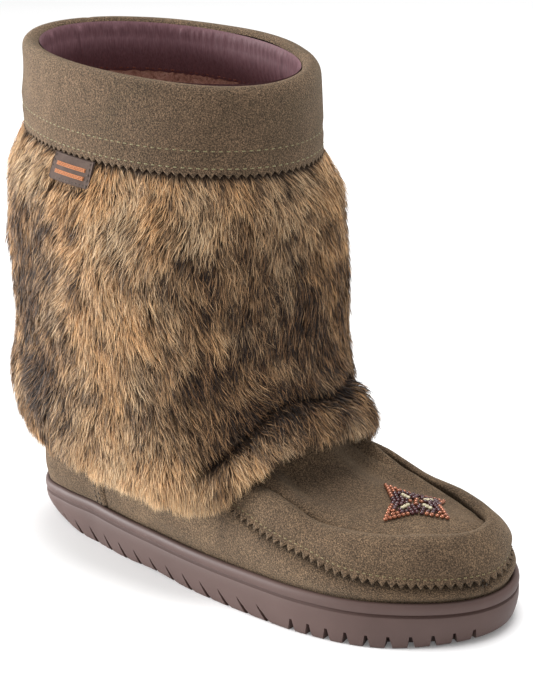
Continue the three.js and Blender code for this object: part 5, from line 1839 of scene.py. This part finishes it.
@dataclass
class BeadStar:
    """Four-armed star of seed beads sewn to the vamp."""

    wardrobe: Wardrobe
    centre: tuple[float, float] = (92.6, 3.6)
    arms: tuple[tuple[float, float], ...] = ((-3.0, 18.5), (77.0, 15.5), (173.0, 20.0), (267.0, 19.5))
    waist: float = 9.5
    radius: float = 1.08
    pitch: float = 2.1
    surface: float = 2.2
    flatness: float = 0.86

    def layout(self) -> list[tuple[float, float, Bead]]:
        """Place in plan and colour of each bead."""
        corners = []
        for arm, (degrees, reach) in enumerate(self.arms):
            after = self.arms[(arm + 1) % len(self.arms)][0]
            between = (degrees + after + (360 if after < degrees else 0)) / 2
            corners += [(math.radians(degrees), reach), (math.radians(between), self.waist)]
        outline = np.array([(reach * math.cos(angle), reach * math.sin(angle)) for angle, reach in corners])
        ends = np.roll(outline, -1, axis=0)
        along = unit(ends - outline)
        inward = np.stack([-along[:, 1], along[:, 0]], -1)
        beads: list[tuple[float, float, Bead]] = []
        for ring in range(4):
            for start, end, inside in zip(outline, ends, inward):
                count = max(2, round(np.linalg.norm(end - start) / self.pitch))
                for share in np.arange(count + 1) / count:
                    depth = ring * self.pitch * 0.9
                    place = start + (end - start) * share + inside * ring * self.pitch * 0.9
                    if ring == 0 or np.min(self.depth_in(place, outline, ends)) > depth - 0.25:
                        far = math.hypot(*place)
                        plum = far < 10.4 if ring == 0 else far < 12.8 or ring > 1
                        beads.append((place[0], place[1], Bead.PLUM if plum else Bead.COPPER))
        for degrees, reach in self.arms:
            angle = math.radians(degrees)
            for step in range(3):
                at = 5.0 + 1.75 * step
                beads.append((at * math.cos(angle), at * math.sin(angle), Bead.CREAM))
            angle += math.pi / 4
            beads.append((2.4 * math.cos(angle), 2.4 * math.sin(angle), Bead.HEART))
        beads.append((0.0, 0.0, Bead.HEART))
        kept: list[tuple[float, float, Bead]] = []
        order = (Bead.HEART, Bead.CREAM, Bead.COPPER, Bead.PLUM)
        for x, y, colour in sorted(beads, key=lambda bead: (order.index(bead[2]), -math.hypot(*bead[:2]))):
            if all(math.hypot(x - u, y - v) > self.pitch * 0.82 for u, v, _ in kept):
                kept.append((x, y, Bead.COPPER if colour is Bead.HEART else colour))
        return kept

    def depth_in(self, place: Array, starts: Array, ends: Array) -> Array:
        """Distances of a place from the sides of the star's outline, below zero outside it."""
        span = ends - starts
        share = np.clip(np.sum((place - starts) * span, -1) / np.sum(span * span, -1), 0, 1)
        away = np.linalg.norm(place - starts - span * share[:, None], axis=-1)
        crossing = (starts[:, 1] > place[1]) != (ends[:, 1] > place[1])
        rise = np.where(span[:, 1] == 0, 1e-9, span[:, 1])
        at = starts[:, 0] + (place[1] - starts[:, 1]) * span[:, 0] / rise
        inside = np.sum(crossing & (place[0] < at)) % 2 == 1
        return away if inside else -away

    def build(self) -> None:
        """Builds the beads, one piece for the whole star."""
        beads = self.layout()
        x = np.array([bead[0] for bead in beads]) + self.centre[0]
        y = np.array([bead[1] for bead in beads]) + self.centre[1]
        turn, level = FORM.skin_place(x, y)
        at = FORM.skin_offset(turn, level[:, None], self.surface + self.radius * 0.72)[:, 0]
        normal = FORM.skin_normal(turn, level[:, None])[:, 0]
        rng = np.random.default_rng(81)
        ahead = unit(np.cross(normal, rng.normal(0, 1, (len(beads), 3))))
        side = np.cross(normal, ahead)
        rings, corners = 7, 10
        shape = []
        for ring in range(rings):
            polar = math.pi * (ring + 0.5) / rings
            for corner in range(corners):
                angle = 2 * math.pi * corner / corners
                shape.append((math.sin(polar) * math.cos(angle), math.sin(polar) * math.sin(angle),
                              math.cos(polar) * self.flatness))
        shape_points = np.array(shape) * self.radius
        grown = (0.94 + 0.12 * rng.random(len(beads)))[:, None, None]
        points = at[:, None] + grown * (
            ahead[:, None] * shape_points[None, :, :1] + side[:, None] * shape_points[None, :, 1:2]
            + normal[:, None] * shape_points[None, :, 2:])
        quads = tube_faces(len(beads), rings, corners)
        index = np.repeat([bead[2] for bead in beads], (rings - 1) * corners)
        piece = build_mesh("bead_star_beads", points, quads,
                           [self.wardrobe.copper, self.wardrobe.plum, self.wardrobe.cream], index)
        attach(piece, Slot.BEADS, "bead_star")


@dataclass
class Studio:
    """Pale floor, soft lights and the camera."""

    # Camera: azimuth and elevation in radians, roll, distance from the point looked at
    azimuth: float = 0.773
    elevation: float = 0.328
    roll: float = -0.053
    position: tuple[float, float, float] = (544.711, -558.746, 375.148)
    focal_pixels: float = 1748.76
    principal: tuple[float, float] = (252.29, 344.05)
    sensor: float = 36.0
    floor_reach: float = 4.0
    aim: tuple[float, float, float] = (0.0, 0.0, 0.1)
    air: float = 0.72

    def camera(self) -> None:
        """Places the camera at the photograph's view."""
        a, e = self.azimuth, self.elevation
        back = Vector((math.sin(a) * math.cos(e), -math.cos(a) * math.cos(e), math.sin(e)))
        right = Vector((math.cos(a), math.sin(a), 0.0))
        up = back.cross(right)
        turned_right = right * math.cos(self.roll) + up * math.sin(self.roll)
        turned_up = up * math.cos(self.roll) - right * math.sin(self.roll)
        data = bpy.data.cameras.new("photo_view")
        data.sensor_width = self.sensor
        data.lens = self.focal_pixels * self.sensor / IMAGE_SIZE[1]
        data.shift_x = (IMAGE_SIZE[0] / 2 - self.principal[0]) / IMAGE_SIZE[1]
        data.shift_y = (self.principal[1] - IMAGE_SIZE[1] / 2) / IMAGE_SIZE[1]
        data.clip_start, data.clip_end = 0.01, 50.0
        camera = bpy.data.objects.new("photo_view", data)
        place = (np.array(self.position) + MIDDLE) * MM
        turn = Matrix((turned_right, turned_up, back)).transposed().to_4x4()
        camera.matrix_world = Matrix.Translation(Vector(place)) @ turn
        bpy.context.scene.collection.objects.link(camera)
        bpy.context.scene.camera = camera

    def floor(self) -> None:
        """Lays the floor."""
        mesh = bpy.data.meshes.new("studio_floor")
        corners = ((-1, -1), (1, -1), (1, 1), (-1, 1))
        mesh.from_pydata([(x * self.floor_reach, y * self.floor_reach, 0) for x, y in corners], [],
                         [(0, 1, 2, 3)])
        mesh.materials.append(StudioPaper("studio_paper").material())
        floor = bpy.data.objects.new("studio_floor", mesh)
        bpy.context.scene.collection.objects.link(floor)

    def light(self, name: str, place: tuple[float, float, float], size: float, power: float) -> None:
        """Adds one soft light aimed at the boot.

        Args:
            name: The light's name.
            place: Where it hangs, in metres.
            size: Width of its panel.
            power: Its power in watts.
        """
        data = bpy.data.lights.new(name, "AREA")
        data.shape, data.size, data.energy = "DISK", size, power
        lamp = bpy.data.objects.new(name, data)
        lamp.location = place
        aim = Vector(self.aim) - lamp.location
        lamp.rotation_euler = aim.to_track_quat("-Z", "Y").to_euler()
        bpy.context.scene.collection.objects.link(lamp)

    def build(self) -> None:
        """Sets up the whole studio."""
        self.camera()
        self.floor()
        self.light("key_left", (-1.6, -1.1, 0.45), 0.9, 64.0)
        self.light("top_fill", (0.1, 0.1, 1.9), 1.2, 30.0)
        world = bpy.data.worlds.new("studio_air")
        world.use_nodes = True
        sky = world.node_tree.nodes["Background"]
        sky.inputs["Color"].default_value = (1.0, 1.0, 1.0, 1.0)
        sky.inputs["Strength"].default_value = self.air
        bpy.context.scene.world = world
        bpy.context.scene.view_settings.view_transform = "Standard"


def main() -> None:
    """Builds the boot piece by piece."""
    logging.basicConfig(level=logging.INFO, format="%(name)s %(message)s")
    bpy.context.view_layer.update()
    wardrobe = Wardrobe()
    Studio().build()
    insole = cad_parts["insole"]
    insole.data.materials.clear()
    insole.data.materials.append(wardrobe.pile)
    Outsole(wardrobe).build()
    Upper(wardrobe).build()
    Vamp(wardrobe).build()
    HeelCounter(wardrobe).build()
    Cuff(wardrobe).build()
    FurSleeve(wardrobe).build()
    SideLabel(wardrobe).build()
    BeadStar(wardrobe).build()


if __name__ == "__main__":
    main()
